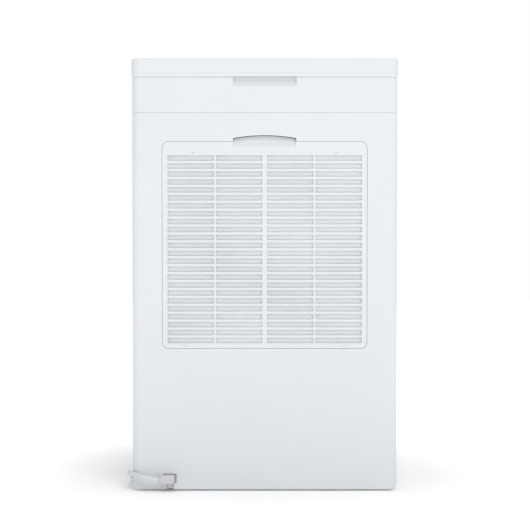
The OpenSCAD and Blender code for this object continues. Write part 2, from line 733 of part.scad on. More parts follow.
module filter_cover() {
  skin = 2;
  dish_top = cover_z1 + arch_end + arch_rise - dish_gap;
  color("white") {
    difference() {
      union() {
        rplate(0, cover_w, cover_r, -hd, -hd + cover_depth, cover_z0, cover_z1);
        arch_block(cover_z1 - 10, -dish_gap + 2.4, -hd + 1, -hd + scoop_in + 2.2);
      }
      difference() {
        rplate(0, cover_w - 4, cover_r - 2, -hd + skin, -hd + 20, cover_z0 + 2, cover_z1 - 2);
        box(-scoop_w / 2 - 2, scoop_w / 2 + 2, -hd, -hd + 30, dish_z0 - 6, cover_z1 + 20);
      }
      cover_slots(-hd - 1, -hd + skin + 1);
      translate([0, -hd, 0]) scoop(scoop_w - 2 * cover_gap, scoop_in, dish_z0, dish_top - 1.2, cover_z1 + 30);
      // hollow behind the dish
      translate([0, -hd, 0]) rotate([90, 0, 90]) translate([0, 0, -scoop_w / 2]) linear_extrude(scoop_w)
        polygon([[skin, dish_z0 - 7], [cover_depth + 1, dish_z0 - 7], [cover_depth + 1, dish_top - 6],
                 [scoop_in + 3, dish_top - 6], [skin, dish_z0 - 4]]);
      // tooling slots over the snaps and hooks
      for (s = [-1, 1]) {
        box(s * snap_x - 1.8, s * snap_x + 1.8, -hd - 1, -hd + 4, slot_top + 3, slot_top + 4.2);
        box(s * hook_x - 1.8, s * hook_x + 1.8, -hd - 1, -hd + 4, cover_z0 + 3.6, cover_z0 + 4.8);
      }
    }
    for (s = [-1, 1]) {
      box(s * hook_x - 5.5, s * hook_x + 5.5, -hd + 9, -hd + 11, cover_z0 - 3.4, cover_z0 + 2.5);
      box(s * snap_x - 6, s * snap_x + 6, -hd + 6, -hd + 10, cover_z1 - 0.5, cover_z1 + 0.7);
    }
  }
}

module filter_frame() {
  x1 = slot_x3 + 3.6;
  z0 = slot_top - slot_rows * slot_pitch;
  color("gainsboro") difference() {
    box(-x1, x1, -hd + 3.2, -hd + 5.8, z0, slot_top + 2.4);
    for (c = [-1, 1], k = [0, 1], row = [0:3]) let (
      cx = c * (k == 0 ? (slot_x0 + slot_x1) / 2 : (slot_x2 + slot_x3) / 2),
      h = (slot_top - z0) / 4)
      box(cx - 31, cx + 31, -hd + 2, -hd + 7, z0 + 3 + row * h, z0 + row * h + h - 1);
  }
}

module filter_net() {
  z0 = slot_top - slot_rows * slot_pitch;
  color("lightgray") box(-slot_x3 - 2, slot_x3 + 2, -hd + 2.4, -hd + 3.2, z0 + 1.4, slot_top + 1);
}

// ---- Bucket ----
module bucket_tub() {
  t = 2.4;
  y_mid = (bucket_y0 + bucket_y1) / 2;
  color("whitesmoke") difference() {
    union() {
      translate([0, y_mid, 0]) rblock(bucket_w, bucket_d, 10, bucket_z0, bucket_z1);
      for (s = [-1, 1]) cyl_x(handle_y, handle_z, 7, s * (bucket_w / 2 + 0.6) - 0.9, s * (bucket_w / 2 + 0.6) + 0.9);
    }
    translate([0, y_mid, 0]) rblock(bucket_w - 2 * t, bucket_d - 2 * t, 10 - t, bucket_z0 + t, bucket_z1 + 1);
    for (s = [-1, 1]) cyl_x(handle_y, handle_z, 3.05, s * bucket_w / 2 - 4, s * bucket_w / 2 + 4);
    // opening behind the level window
    rplate(0, 26, 6, bucket_y1 - 4, bucket_y1 + 1, 96, 178);
  }
  // ears that hold the float's pin
  color("whitesmoke") for (y = [7, 33]) difference() {
    box(-bucket_w / 2 + t, float_x + 6, y - 1.5, y + 1.5, float_z - 8, float_z + 8);
    cyl_y(float_x, float_z, 2.05, y - 2, y + 2);
  }
}

module bucket_front() {
  z0 = front_z0;
  z1 = front_z1;
  color("white") difference() {
    union() {
      rplate(0, front_w, 9, bucket_y1 + 0.1, hd, z0, z1);
      box(-scoop_w / 2 - 3, scoop_w / 2 + 3, bucket_y1 - 12, bucket_y1 + 1, z1 - 34, z1 - 4);
    }
    translate([0, hd, 0]) rotate([0, 0, 180]) scoop(scoop_w, scoop_in, z1 - 26, z1 - 13, z1 - 8);
    rplate(0, 22.4, 4.2, bucket_y1 - 1, hd + 1, 98.8, 175.2);
  }
}

module bucket_window() {
  color("lightblue", 0.5) {
    rplate(0, 22, 4, bucket_y1 - 0.6, hd - 0.3, 99, 175);
    rplate(0, 25.6, 5.8, bucket_y1 - 2.4, bucket_y1 - 0.6, 96.2, 177.8);
  }
}

module bucket_lid() {
  color("whitesmoke") difference() {
    translate([0, (bucket_y0 + bucket_y1) / 2, 0]) rblock(bucket_w, bucket_d - 24, 9, bucket_z1 + 0.1, bucket_z1 + 3);
    box(-30, 30, bucket_y0 - 1, bucket_y0 + 34, bucket_z1 - 1, bucket_z1 + 4);
  }
}

module bucket_handle() {
  x_out = bucket_w / 2 + 5.2;
  x_in = bucket_w / 2 + 1.8;
  lie = handle_y + handle_arm;
  color("gainsboro") {
    for (s = [-1, 1]) {
      box(min(s * x_in, s * x_out), max(s * x_in, s * x_out), handle_y - 5, lie, handle_z - 5, handle_z + 5);
      cyl_x(handle_y, handle_z, 3, min(s * (x_in - 3.5), s * x_in), max(s * (x_in - 3.5), s * x_in));
      box(min(s * x_in, s * x_out), max(s * x_in, s * x_out), lie - 10, lie, handle_z, bucket_z1 + 12);
    }
    box(-x_out, x_out, lie - 10, lie, bucket_z1 + 4, bucket_z1 + 12);
  }
}

module bucket_float() {
  color("white") {
    box(float_x + 40, float_x + 92, 4, 36, float_z - 26, float_z - 8);
    box(float_x - 3, float_x + 60, 17, 23, float_z - 8, float_z - 3);
    box(float_x - 3, float_x + 3, 17, 23, float_z - 3, float_z + 3);
    cyl_y(float_x, float_z, 2, 5.5, 34.5);
  }
}

// ---- Casters ----
module caster_fork(c) {
  x = c[0] * caster_x;
  y = c[1] * caster_y;
  axle_y = y + c[2] * trail;
  color("dimgray") {
    difference() {
      union() {
        cyl_z(x, y, 14, 33, 35);
        cyl_z(x, y, 8, 34, 36.9);
        cyl_z(x, y, shaft_r, 35, 50);
        for (s = [-1, 1]) box(x + s * (wheel_w / 2 + 1.4) - 0.9, x + s * (wheel_w / 2 + 1.4) + 0.9,
                              min(y, axle_y) - 5, max(y, axle_y) + 5, wheel_r - 5, 34);
      }
      cyl_x(axle_y, wheel_r, 2.4, x - 20, x + 20);
    }
    cyl_x(axle_y, wheel_r, 2.4, x - wheel_w / 2 - 2.3, x + wheel_w / 2 + 2.3);
  }
}

module caster_wheel(c) {
  x = c[0] * caster_x;
  axle_y = c[1] * caster_y + c[2] * trail;
  color("black") translate([x, axle_y, wheel_r]) rotate([0, 90, 0]) difference() {
    rotate_extrude() polygon([
      [2.45, -wheel_w / 2], [8, -wheel_w / 2], [8, -wheel_w / 2 + 2], [wheel_r - 3, -wheel_w / 2 + 2],
      [wheel_r - 3, -wheel_w / 2], [wheel_r - 1.2, -wheel_w / 2], [wheel_r, -wheel_w / 2 + 1.4],
      [wheel_r, wheel_w / 2 - 1.4], [wheel_r - 1.2, wheel_w / 2], [wheel_r - 3, wheel_w / 2],
      [wheel_r - 3, wheel_w / 2 - 2], [8, wheel_w / 2 - 2], [8, wheel_w / 2], [2.45, wheel_w / 2]
    ]);
  }
}

// ---- Cord ----
module cord_gland() {
  color("white") {
    box(-142.8, -128.2, -hd - 17, -hd + 7, 11.8, 23.6);
    box(-138.4, -131, -hd - 1, -hd + 8, floor_gap + 0.4, 12.2);
    translate(nose_tip) rotate([0, -nose_tilt, 0]) translate([0, 0, -15]) cylinder(r1 = 5.6, r2 = 4.3, h = 15);
  }
}

// Frame of a ring of the cord: side and up vectors across the route at point i
function way(p, i) = let (a = p[max(i - 1, 0)], b = p[min(i + 1, len(p) - 1)]) (b - a) / norm(b - a);
function side(d) = let (s = cross(d, [0, 0, 1])) s / norm(s);
function ring(p, i, r, n) = let (d = way(p, i), s = side(d), u = cross(s, d))
  [for (k = [0:n - 1]) p[i] + r * (cos(360 * (k + 0.5) / n) * s + sin(360 * (k + 0.5) / n) * u)];

module sweep(p, r, n) {
  last = len(p) - 1;
  polyhedron(
    points = [for (i = [0:last]) each ring(p, i, r, n)],
    faces = concat(
      [[for (k = [0:n - 1]) k]],
      [for (i = [0:last - 1], k = [0:n - 1]) let (a = i * n + k, b = i * n + (k + 1) % n) [a, a + n, b + n, b]],
      [[for (k = [n - 1:-1:0]) last * n + k]]
    )
  );
}

module power_cord() color("white") sweep(cord_route, cord_r, 10);

module cord_coil() {
  color("white") translate([coil_c[0], coil_c[1], 0]) rotate_extrude()
    translate([coil_r0, 0.1]) square([coil_r1 - coil_r0, coil_h]);
  color("white") cyl_x(plug_y, tail_z, cord_r, coil_c[0], plug_x);
}

module cord_tie() {
  mid = (coil_r0 + coil_r1) / 2;
  w = coil_r1 - coil_r0;
  color("black") translate([coil_c[0] + mid, coil_c[1] - 6, 0]) difference() {
    translate([-w / 2 - 1.6, 0, 0]) cube([w + 3.2, 12, coil_h + 1.4]);
    translate([-w / 2 - 0.6, -1, -1]) cube([w + 1.2, 14, coil_h + 1.3]);
  }
}

module plug() {
  color("white") {
    cyl_x(plug_y, tail_z, 5.5, plug_x, plug_x + 25);
    translate([plug_x + 24, plug_y, tail_z]) rotate([90, 0, 90]) linear_extrude(30) rrect(25, 22.6, 5);
  }
}

module plug_blades() {
  x0 = plug_x + 54;
  color("gold") {
    for (s = [-1, 1]) box(x0, x0 + 17, plug_y + s * 6.35 - 0.75, plug_y + s * 6.35 + 0.75, tail_z, tail_z + 6.4);
    cyl_x(plug_y, tail_z - 5.5, 2.4, x0, x0 + 19);
  }
}

base_pan();
rear_housing();
front_housing();
top_collar();
top_lid();
control_panel();
display_window();
control_board();
outlet_louvre();
bucket_bay();
drip_tray();
evaporator_fins();
evaporator_tubes();
condenser_fins();
condenser_tubes();
compressor();
accumulator();
compressor_grommets();
compressor_bolts();
copper_pipes();
filter_drier();
drain_hose();
fan_scroll();
outlet_duct();
fan_motor();
blower_wheel();
run_capacitor();
humidity_sensor();
bucket_switch();
drain_spout();
base_screws();
cord_gland();
filter_cover();
filter_frame();
filter_net();
bucket_tub();
bucket_front();
bucket_window();
bucket_lid();
bucket_handle();
bucket_float();
panel_button(button_x[0]);  // power_button
panel_button(button_x[1]);  // mode_button
panel_button(button_x[2]);  // speed_button
panel_button(button_x[3]);  // timer_button
panel_button(button_x[4]);  // humidity_button
caster_fork(rear_left);  // caster_fork_rear_left
caster_wheel(rear_left);  // caster_wheel_rear_left
caster_fork(rear_right);  // caster_fork_rear_right
caster_wheel(rear_right);  // caster_wheel_rear_right
caster_fork(front_left);  // caster_fork_front_left
caster_wheel(front_left);  // caster_wheel_front_left
caster_fork(front_right);  // caster_fork_front_right
caster_wheel(front_right);  // caster_wheel_front_right
power_cord();
cord_coil();
cord_tie();
plug();
plug_blades();
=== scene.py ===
"""Looks of the dehumidifier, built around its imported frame. Metres, +Z up, intake side at -Y."""
import bpy
import bmesh
import json
import math
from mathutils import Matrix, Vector
from mathutils.geometry import delaunay_2d_cdt


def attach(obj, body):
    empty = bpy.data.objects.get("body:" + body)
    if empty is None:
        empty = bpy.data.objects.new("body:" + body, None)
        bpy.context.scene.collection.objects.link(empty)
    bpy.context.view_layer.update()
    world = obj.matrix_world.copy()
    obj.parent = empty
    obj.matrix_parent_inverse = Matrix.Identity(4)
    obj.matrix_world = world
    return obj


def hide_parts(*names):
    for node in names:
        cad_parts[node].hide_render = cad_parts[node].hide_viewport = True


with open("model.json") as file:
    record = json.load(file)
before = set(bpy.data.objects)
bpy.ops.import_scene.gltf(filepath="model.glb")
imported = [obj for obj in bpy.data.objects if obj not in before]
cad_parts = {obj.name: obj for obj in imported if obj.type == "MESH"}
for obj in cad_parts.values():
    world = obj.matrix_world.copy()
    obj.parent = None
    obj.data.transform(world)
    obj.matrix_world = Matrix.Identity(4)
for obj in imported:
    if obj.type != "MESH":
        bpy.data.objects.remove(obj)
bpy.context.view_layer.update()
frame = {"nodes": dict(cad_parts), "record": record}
NODES = frame["nodes"]
MM = 0.001

# ---------------------------------------------------------------- sizes, in millimetres
LID_W, LID_D, TOTAL_H, LID_H = 380.0, 284.0, 616.0, 25.8
HW, HD, WALL, CORNER = 189.0, 140.0, 2.8, 12.0
LID_Z0 = TOTAL_H - LID_H
COLLAR_Z0, COLLAR_Z1 = 539.2, 589.2
HOUSING_Z0, HOUSING_Z1, SPLIT_Y = 2.4, 538.9, 20.0
BOTTOM_R, RING_H, RING_W = 8.0, 9.0, 11.0
COVER_W, COVER_Z0, COVER_Z1, COVER_R, COVER_DEPTH = 291.4, 203.8, 498.2, 9.0, 12.0
COVER_GAP, COVER_SKIN = 0.35, 2.0
SCOOP_W, SCOOP_IN = 89.4, 6.0      # width and depth of the finger recesses
ARCH_END, ARCH_RISE = 4.8, 4.0     # arch over the cover's dish: height at its ends, extra at the middle
DISH_Z0, DISH_GAP = COVER_Z1 - 8.0, 0.5
DISH_TOP = COVER_Z1 + ARCH_END + ARCH_RISE - DISH_GAP
SLOT_X = (3.6, 69.1, 72.5, 138.0)
SLOT_ROWS, SLOT_PITCH, SLOT_H = 24, 11.28, 7.6
SLOT_TOP = COVER_Z1 - 19.7
FRONT_W, FRONT_Z0, FRONT_Z1, FRONT_GAP = 328.0, 59.5, 243.5, 0.5
OUTLET_W, OUTLET_Z0, OUTLET_Z1 = 300.0, 462.0, 528.0
SPOUT_Y, SPOUT_Z = -54.0, 186.0
PANEL_W, PANEL_Y0, PANEL_Y1 = 240.0, 66.0, 118.0
NOTCH_X, NOTCH_Z = (-144.0, -126.0), (11.4, 24.6)     # window for the cord's boot
FOOT_X = (-139.0, -130.4)                             # slit under that window
MARK_X, MARK_UP = (102.0, 114.0), (SLOT_TOP + 3.6, COVER_Z0 + 4.2)
CORD_R, CORD_LENGTH = 3.8, 1.8     # the length is in metres
CORD_Y, CORD_SIDE, CORD_BEND, LIE_X = -152.4, -194.6, 30.0, -195.0
NOSE_TIP, NOSE_TILT = (-155.6, CORD_Y, 17.9), 78.6
BEND_HEIGHTS = (19.75, 21.3, 22.8, 23.9, 24.4, 24.3, 23.4)
COIL_C, TAIL_Z = (-142.0, 206.0), 11.4
PLUG_X, PLUG_Y = -100.0, 259.0


# ---------------------------------------------------------------- camera
def make_camera():
    distance, pitch = 2.2, math.radians(1.2)
    sensor, view_width, aim_x, aim_z = 36.0, 0.75396, 0.0005, 0.3226
    data = bpy.data.cameras.new("camera")
    data.sensor_width = sensor
    data.lens = sensor * distance / view_width
    data.clip_end = 50
    cam = bpy.data.objects.new("camera", data)
    cam.location = (aim_x, -HD * MM - distance, aim_z + distance * math.tan(pitch))
    cam.rotation_euler = (math.radians(90) - pitch, 0, 0)
    bpy.context.scene.collection.objects.link(cam)
    bpy.context.scene.camera = cam


make_camera()
bpy.context.scene.view_settings.view_transform = "Standard"


# ---------------------------------------------------------------- materials
def new_material(name):
    mat = bpy.data.materials.new(name)
    mat.use_nodes = True
    tree = mat.node_tree
    return mat, tree, tree.nodes["Principled BSDF"]


def add_noise(tree, scale, detail=3.0, stretch=(1, 1, 1), rough=0.5):
    coords = tree.nodes.new("ShaderNodeTexCoord")
    mapping = tree.nodes.new("ShaderNodeMapping")
    mapping.inputs["Scale"].default_value = stretch
    noise = tree.nodes.new("ShaderNodeTexNoise")
    noise.inputs["Scale"].default_value = scale
    noise.inputs["Detail"].default_value = detail
    noise.inputs["Roughness"].default_value = rough
    tree.links.new(coords.outputs["Object"], mapping.inputs["Vector"])
    tree.links.new(mapping.outputs["Vector"], noise.inputs["Vector"])
    return noise.outputs["Fac"]


def add_ramp(tree, fac, stops):
    ramp = tree.nodes.new("ShaderNodeValToRGB")
    ramp.color_ramp.elements[0].position = stops[0][0]
    ramp.color_ramp.elements[0].color = (*stops[0][1], 1)
    ramp.color_ramp.elements[1].position = stops[-1][0]
    ramp.color_ramp.elements[1].color = (*stops[-1][1], 1)
    for pos, color in stops[1:-1]:
        ramp.color_ramp.elements.new(pos).color = (*color, 1)
    tree.links.new(fac, ramp.inputs["Fac"])
    return ramp.outputs["Color"]


def surface(name, color, rough=0.45, spread=0.03, grain=1400.0, bump=0.04, bump_mm=0.05, blotch=9.0,
            stretch=(1, 1, 1), metallic=0.0, coat=0.0, transmission=0.0):
    """Procedural finish: broad tone variation, varied roughness and a fine grain."""
    mat, tree, bsdf = new_material(name)
    low = [max(0.0, c * (1 - spread)) for c in color]
    high = [min(1.0, c * (1 + spread)) for c in color]
    broad = add_noise(tree, blotch, 4.0, stretch)
    tree.links.new(add_ramp(tree, broad, [(0.3, low), (0.7, high)]), bsdf.inputs["Base Color"])
    fine = add_noise(tree, grain, 2.0, stretch, 0.6)
    rough_spread = 0.08
    tones = [(0.25, [max(0.02, rough - rough_spread)] * 3), (0.75, [min(1.0, rough + rough_spread)] * 3)]
    tree.links.new(add_ramp(tree, fine, tones), bsdf.inputs["Roughness"])
    if bump > 0:
        node = tree.nodes.new("ShaderNodeBump")
        node.inputs["Strength"].default_value = bump
        node.inputs["Distance"].default_value = bump_mm * MM
        tree.links.new(fine, node.inputs["Height"])
        tree.links.new(node.outputs["Normal"], bsdf.inputs["Normal"])
    bsdf.inputs["Metallic"].default_value = metallic
    bsdf.inputs["Coat Weight"].default_value = coat
    bsdf.inputs["Transmission Weight"].default_value = transmission
    return mat


WHITE = (0.755, 0.778, 0.798)
MATS = {
    "shell_white": surface("white_abs", WHITE, rough=0.48, spread=0.008, grain=1700, bump=0.25, bump_mm=0.03),
    "inner_white": surface("inner_abs", (0.70, 0.715, 0.72), rough=0.55, spread=0.02, bump=0.3),
    "bucket_grey": surface("bucket_pp", (0.74, 0.76, 0.78), rough=0.36, spread=0.02, bump=0.15),
    "net_grey": surface("net_nylon", (0.76, 0.785, 0.805), rough=0.6, spread=0.05, grain=2600, bump=0.5,
                        bump_mm=0.1),
    "frame_grey": surface("frame_pp", (0.70, 0.725, 0.74), rough=0.5, spread=0.02, bump=0.2),
    "window_clear": surface("window_pc", (0.80, 0.88, 0.92), rough=0.12, spread=0.01, bump=0.02,
                            transmission=0.85),
    "display_black": surface("display_pc", (0.012, 0.013, 0.016), rough=0.1, spread=0.1, bump=0.02, coat=0.6),
    "panel_grey": surface("panel_film", (0.52, 0.545, 0.565), rough=0.4, spread=0.01, bump=0.2),
    "button_white": surface("button_abs", (0.78, 0.80, 0.815), rough=0.34, spread=0.01, bump=0.12),
    "board_green": surface("board_resist", (0.02, 0.10, 0.035), rough=0.35, spread=0.15, coat=0.4),
    "fin_aluminium": surface("fin_foil", (0.80, 0.81, 0.83), rough=0.3, spread=0.05, metallic=1.0,
                             stretch=(1, 1, 0.08), bump=0.15),
    "copper": surface("copper_tube", (0.66, 0.31, 0.17), rough=0.34, spread=0.16, metallic=1.0, blotch=30,
                      bump=0.1),
    "compressor_black": surface("black_enamel", (0.012, 0.012, 0.013), rough=0.3, spread=0.25, grain=500,
                                bump=0.25),
    "rubber_black": surface("black_rubber", (0.018, 0.018, 0.019), rough=0.75, spread=0.2, grain=900,
                            bump=0.4),
    "steel": surface("zinc_steel", (0.60, 0.61, 0.62), rough=0.32, spread=0.06, metallic=1.0, blotch=60,
                     bump=0.1),
    "motor_steel": surface("galvanised", (0.52, 0.53, 0.54), rough=0.42, spread=0.12, metallic=1.0, blotch=45,
                           bump=0.1),
    "fan_grey": surface("fan_pp", (0.045, 0.048, 0.052), rough=0.5, spread=0.1, bump=0.25),
    "caster_grey": surface("caster_nylon", (0.028, 0.028, 0.030), rough=0.5, spread=0.15, bump=0.3),
    "wheel_black": surface("wheel_nylon", (0.016, 0.016, 0.017), rough=0.55, spread=0.2, grain=1100,
                           bump=0.35),
    "cord_white": surface("cord_vinyl", (0.70, 0.725, 0.74), rough=0.42, spread=0.02, grain=1200, bump=0.2),
    "boot_grey": surface("boot_vinyl", (0.655, 0.64, 0.665), rough=0.45, spread=0.03, grain=1200, bump=0.2),
    "blade_brass": surface("plated_brass", (0.74, 0.62, 0.36), rough=0.25, spread=0.06, metallic=1.0,
                           stretch=(0.1, 1, 1), bump=0.1),
    "cap_white": surface("capacitor_can", (0.72, 0.72, 0.70), rough=0.35, spread=0.02, bump=0.1),
}


# ---------------------------------------------------------------- mesh helpers
def make_object(name, bm, material, smooth_angle=34.0):
    bmesh.ops.remove_doubles(bm, verts=bm.verts, dist=1e-6)
    bmesh.ops.dissolve_degenerate(bm, dist=1e-7, edges=bm.edges)
    bmesh.ops.recalc_face_normals(bm, faces=bm.faces)
    mesh = bpy.data.meshes.new(name)
    bm.to_mesh(mesh)
    bm.free()
    mesh.materials.append(MATS[material])
    for poly in mesh.polygons:
        poly.use_smooth = True
    mesh.set_sharp_from_angle(angle=math.radians(smooth_angle))
    obj = bpy.data.objects.new(name, mesh)
    bpy.context.scene.collection.objects.link(obj)
    normals = obj.modifiers.new("normals", "WEIGHTED_NORMAL")
    normals.mode = "FACE_AREA"
    normals.weight = 50
    normals.keep_sharp = True
    return obj


def add_piece(name, bm, material, body, replaced=(), smooth_angle=34.0):
    obj = make_object(name, bm, material, smooth_angle)
    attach(obj, body)
    if replaced:
        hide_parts(*replaced)
    return obj


def rrect(w, h, r, cx=0.0, cz=0.0, steps=6):
    """Counter-clockwise rounded rectangle."""
    points = []
    for sx, sz, start in ((1, 1, 0), (-1, 1, 90), (-1, -1, 180), (1, -1, 270)):
        for i in range(steps + 1):
            a = math.radians(start + 90 * i / steps)
            points.append((cx + sx * (w / 2 - r) + r * math.cos(a), cz + sz * (h / 2 - r) + r * math.sin(a)))
    return points


def circle(cx, cz, r, n=48):
    turns = [2 * math.pi * i / n for i in range(n)]
    return [(cx + r * math.cos(a), cz + r * math.sin(a)) for a in turns]


def split_long(loop, limit):
    """Adds points so that no side of the loop is longer than limit."""
    out = []
    for i, a in enumerate(loop):
        b = loop[(i + 1) % len(loop)]
        n = max(1, math.ceil(math.dist(a, b) / limit))
        out += [(a[0] + (b[0] - a[0]) * k / n, a[1] + (b[1] - a[1]) * k / n) for k in range(n)]
    return out


def miters(loop):
    """For each point, the vector that moves it 1 mm to the left of the loop's way round."""
    out = []
    n = len(loop)
    for i in range(n):
        p, a, b = Vector(loop[i]), Vector(loop[i - 1]), Vector(loop[(i + 1) % n])
        d1, d2 = (p - a).normalized(), (b - p).normalized()
        n1, n2 = Vector((-d1.y, d1.x)), Vector((-d2.y, d2.x))
        m = n1 + n2
        m = m / max(m.dot(m), 1e-9) * 2.0 if m.length > 0.2 else n1
        out.append(m)
    return out


def inside(point, loop):
    x, y = point
    hit = False
    for i in range(len(loop)):
        (x1, y1), (x2, y2) = loop[i - 1], loop[i]
        if (y1 > y) != (y2 > y) and x < (x2 - x1) * (y - y1) / (y2 - y1) + x1:
            hit = not hit
    return hit


def fillet(r, steps=3):
    """(offset, depth) pairs from the face over a rounded edge on to the wall."""
    turns = [math.pi / 2 * k / steps for k in range(steps + 1)]
    return [(r * (1 - math.sin(a)), r * (1 - math.cos(a))) for a in turns]


def plate(bm, outer, outer_profile, holes, place, steiner=(), lines=(), dent=None):
    """A plate with rounded edges, in the (u, v) plane, with depth going in from its face.
    Profiles are lists of (offset into the material, depth), or functions of a point that give one.
    The first pair is the front face's edge and the last one the back face's."""
    dent = dent or (lambda u, v: 0.0)
    loops = []
    for loop, profile, sign in [(outer, outer_profile, 1)] + [(h, p, -1) for h, p in holes]:
        moves = miters(loop)
        rows = []
        profiles = [profile(p) if callable(profile) else profile for p in loop]
        for k in range(len(profiles[0])):
            rows.append([(p[0] + sign * m.x * pr[k][0], p[1] + sign * m.y * pr[k][0], pr[k][1])
                         for p, m, pr in zip(loop, moves, profiles)])
        loops.append(rows)

    def face(index, extra, segments):
        points, edges, owner = [], [], []
        for number, rows in enumerate(loops):
            row = rows[index]
            base = len(points)
            points += [Vector((p[0], p[1])) for p in row]
            owner += [number] * len(row)
            edges += [(base + i, base + (i + 1) % len(row)) for i in range(len(row))]
        depths = [p[2] for rows in loops for p in rows[index]]
        outlines = [[(p[0], p[1]) for p in rows[index]] for rows in loops]
        for p in extra:
            points.append(Vector(p))
        for a, b in segments:
            edges.append((len(points), len(points) + 1))
            points += [Vector(a), Vector(b)]
        level = sorted(depths)[len(depths) // 2]
        verts, _, faces, original, _, _ = delaunay_2d_cdt(points, edges, [], 1, 1e-6)
        made, who = [], []
        for v, src in zip(verts, original):
            known = [s for s in src if s < len(owner)]
            depth = depths[known[0]] if known else level
            who.append(owner[known[0]] if known else -1)
            made.append(bm.verts.new(place(v.x, v.y, depth + dent(v.x, v.y))))
        for f in faces:
            owners = {who[i] for i in f}
            if len(owners) == 1 and -1 not in owners:
                number = owners.pop()
                centre = sum((verts[i] for i in f), Vector((0, 0))) / len(f)
                if inside((centre.x, centre.y), outlines[number]) != (number == 0):
                    continue
            try:
                bm.faces.new([made[i] for i in f])
            except ValueError:
                pass

    face(0, steiner, lines)
    face(-1, steiner, lines)
    for rows in loops:
        rings = [[bm.verts.new(place(p[0], p[1], p[2] + dent(p[0], p[1]))) for p in row] for row in rows]
        join_rows(bm, zip(rings, rings[1:]))


def add_box(bm, x0, x1, y0, y1, z0, z1, bevel=0.0):
    part = bmesh.new()
    bmesh.ops.create_cube(part, size=1.0)
    for v in part.verts:
        v.co = Vector(((x0 + x1) / 2 + v.co.x * (x1 - x0), (y0 + y1) / 2 + v.co.y * (y1 - y0),
                       (z0 + z1) / 2 + v.co.z * (z1 - z0))) * MM
    if bevel:
        bmesh.ops.bevel(part, geom=part.edges, offset=bevel * MM, segments=3, affect="EDGES", profile=0.5)
    mesh = bpy.data.meshes.new("part")
    part.to_mesh(mesh)
    part.free()
    bm.from_mesh(mesh)
    bpy.data.meshes.remove(mesh)


def join_rows(bm, pairs):
    """Fills the band between the two rings of verts in each pair."""
    for a, b in pairs:
        for i in range(len(a)):
            j = (i + 1) % len(a)
            bm.faces.new((a[i], a[j], b[j], b[i]))


def skin_rings(bm, rings):
    """Joins rings of points, each a closed loop with the same count, and caps both ends."""
    rows = [[bm.verts.new(p) for p in ring] for ring in rings]
    join_rows(bm, zip(rows, rows[1:]))
    bm.faces.new(rows[0])
    bm.faces.new(rows[-1])


def squared_ring(x, y, z, deep, high, power, count):
    """Ring across X, from round (power 1) to nearly square (power near 0)."""
    ring = []
    for i in range(count):
        a = 2 * math.pi * i / count
        c, n = math.cos(a), math.sin(a)
        ring.append(Vector((x, y + deep * math.copysign(abs(c) ** power, c),
                            z + high * math.copysign(abs(n) ** power, n))) * MM)
    return ring


# ---------------------------------------------------------------- the cabinet's outline
FLAT_X = HW - CORNER
ARC = CORNER * math.pi / 2


def side_limit(z):
    """Half width of the cabinet at height z: its lower side edges are rounded."""
    low = HOUSING_Z0 + BOTTOM_R
    if z >= low:
        return HW
    return HW - BOTTOM_R + math.sqrt(max(0.0, BOTTOM_R ** 2 - (low - max(z, HOUSING_Z0)) ** 2))


def wrap(u, z, depth, end=-1.0):
    """Point on the cabinet's wall: u runs from the middle of the end face round the corner to the side."""
    s = 1.0 if u >= 0 else -1.0
    a = abs(u)
    if a <= FLAT_X:
        x, y = a, HD - depth
    elif a <= FLAT_X + ARC:
        t = (a - FLAT_X) / CORNER
        x = FLAT_X + (CORNER - depth) * math.sin(t)
        y = HD - CORNER + (CORNER - depth) * math.cos(t)
    else:
        x, y = HW - depth, HD - CORNER - (a - FLAT_X - ARC)
    x = min(x, side_limit(z) - depth)
    return Vector((s * x, end * y, z)) * MM


def u_at_side(y):
    """u of the side wall's point at distance y from the end face's side of the middle."""
    return FLAT_X + ARC + (HD - CORNER - y)


ARC_U = [FLAT_X + ARC * i / 10 for i in range(11)]
LOW_Z = [HOUSING_Z0 + BOTTOM_R * (1 - math.cos(math.radians(a))) for a in (0, 15, 30, 45, 60, 75, 90)]


def band_outline(edge_u, z0, z1, notch=()):
    """Counter-clockwise outline of a wrapped wall, with points where it has to bend."""
    us = sorted(set([-u for u in ARC_U] + ARC_U))
    bottom = [(-edge_u, z0)] + [(u, z0) for u in us if abs(u) < edge_u]
    if notch:
        before = [p for p in bottom if p[0] < notch[0][0]]
        bottom = before + list(notch) + [p for p in bottom if p[0] > notch[-1][0]]
    right = [(edge_u, z0)] + [(edge_u, z) for z in LOW_Z[1:]]
    top = [(edge_u, z1)] + [(u, z1) for u in reversed(us) if abs(u) < edge_u]
    left = [(-edge_u, z1)] + [(-edge_u, z) for z in reversed(LOW_Z[1:])]
    return bottom + right + top + left


def band_lines(edge_u, z0, z1, margin):
    """Upright and level lines that make the wall bend where it is round."""
    lines = []
    for u in ARC_U:
        for s in (-1, 1):
            lines.append(((s * u, z0 + margin), (s * u, z1 - margin)))
    stops = [FLAT_X - 3] + ARC_U + [edge_u - margin]
    for z in LOW_Z[2:]:
        for s in (-1, 1):
            lines += [((s * a, z), (s * b, z)) for a, b in zip(stops, stops[1:])]
    return lines


def arch_height(x):
    r = ((SCOOP_W / 2) ** 2 + ARCH_RISE ** 2) / (2 * ARCH_RISE)
    return COVER_Z1 + ARCH_END + ARCH_RISE - r + math.sqrt(r * r - x * x)


def opening_loop():
    """The intake opening with the arch over its middle, counter-clockwise."""
    w = COVER_W + 2 * COVER_GAP
    h = COVER_Z1 - COVER_Z0 + 2 * COVER_GAP
    loop = rrect(w, h, COVER_R + COVER_GAP, 0, (COVER_Z0 + COVER_Z1) / 2, steps=8)
    top = COVER_Z1 + COVER_GAP
    half = SCOOP_W / 2
    arch = [(half, top), (half, top + 1.2)]
    arch += [(x, arch_height(x)) for x in [half * math.cos(math.pi * i / 24) for i in range(25)]]
    arch += [(-half, top + 1.2), (-half, top)]
    return loop[:9] + arch + loop[9:]


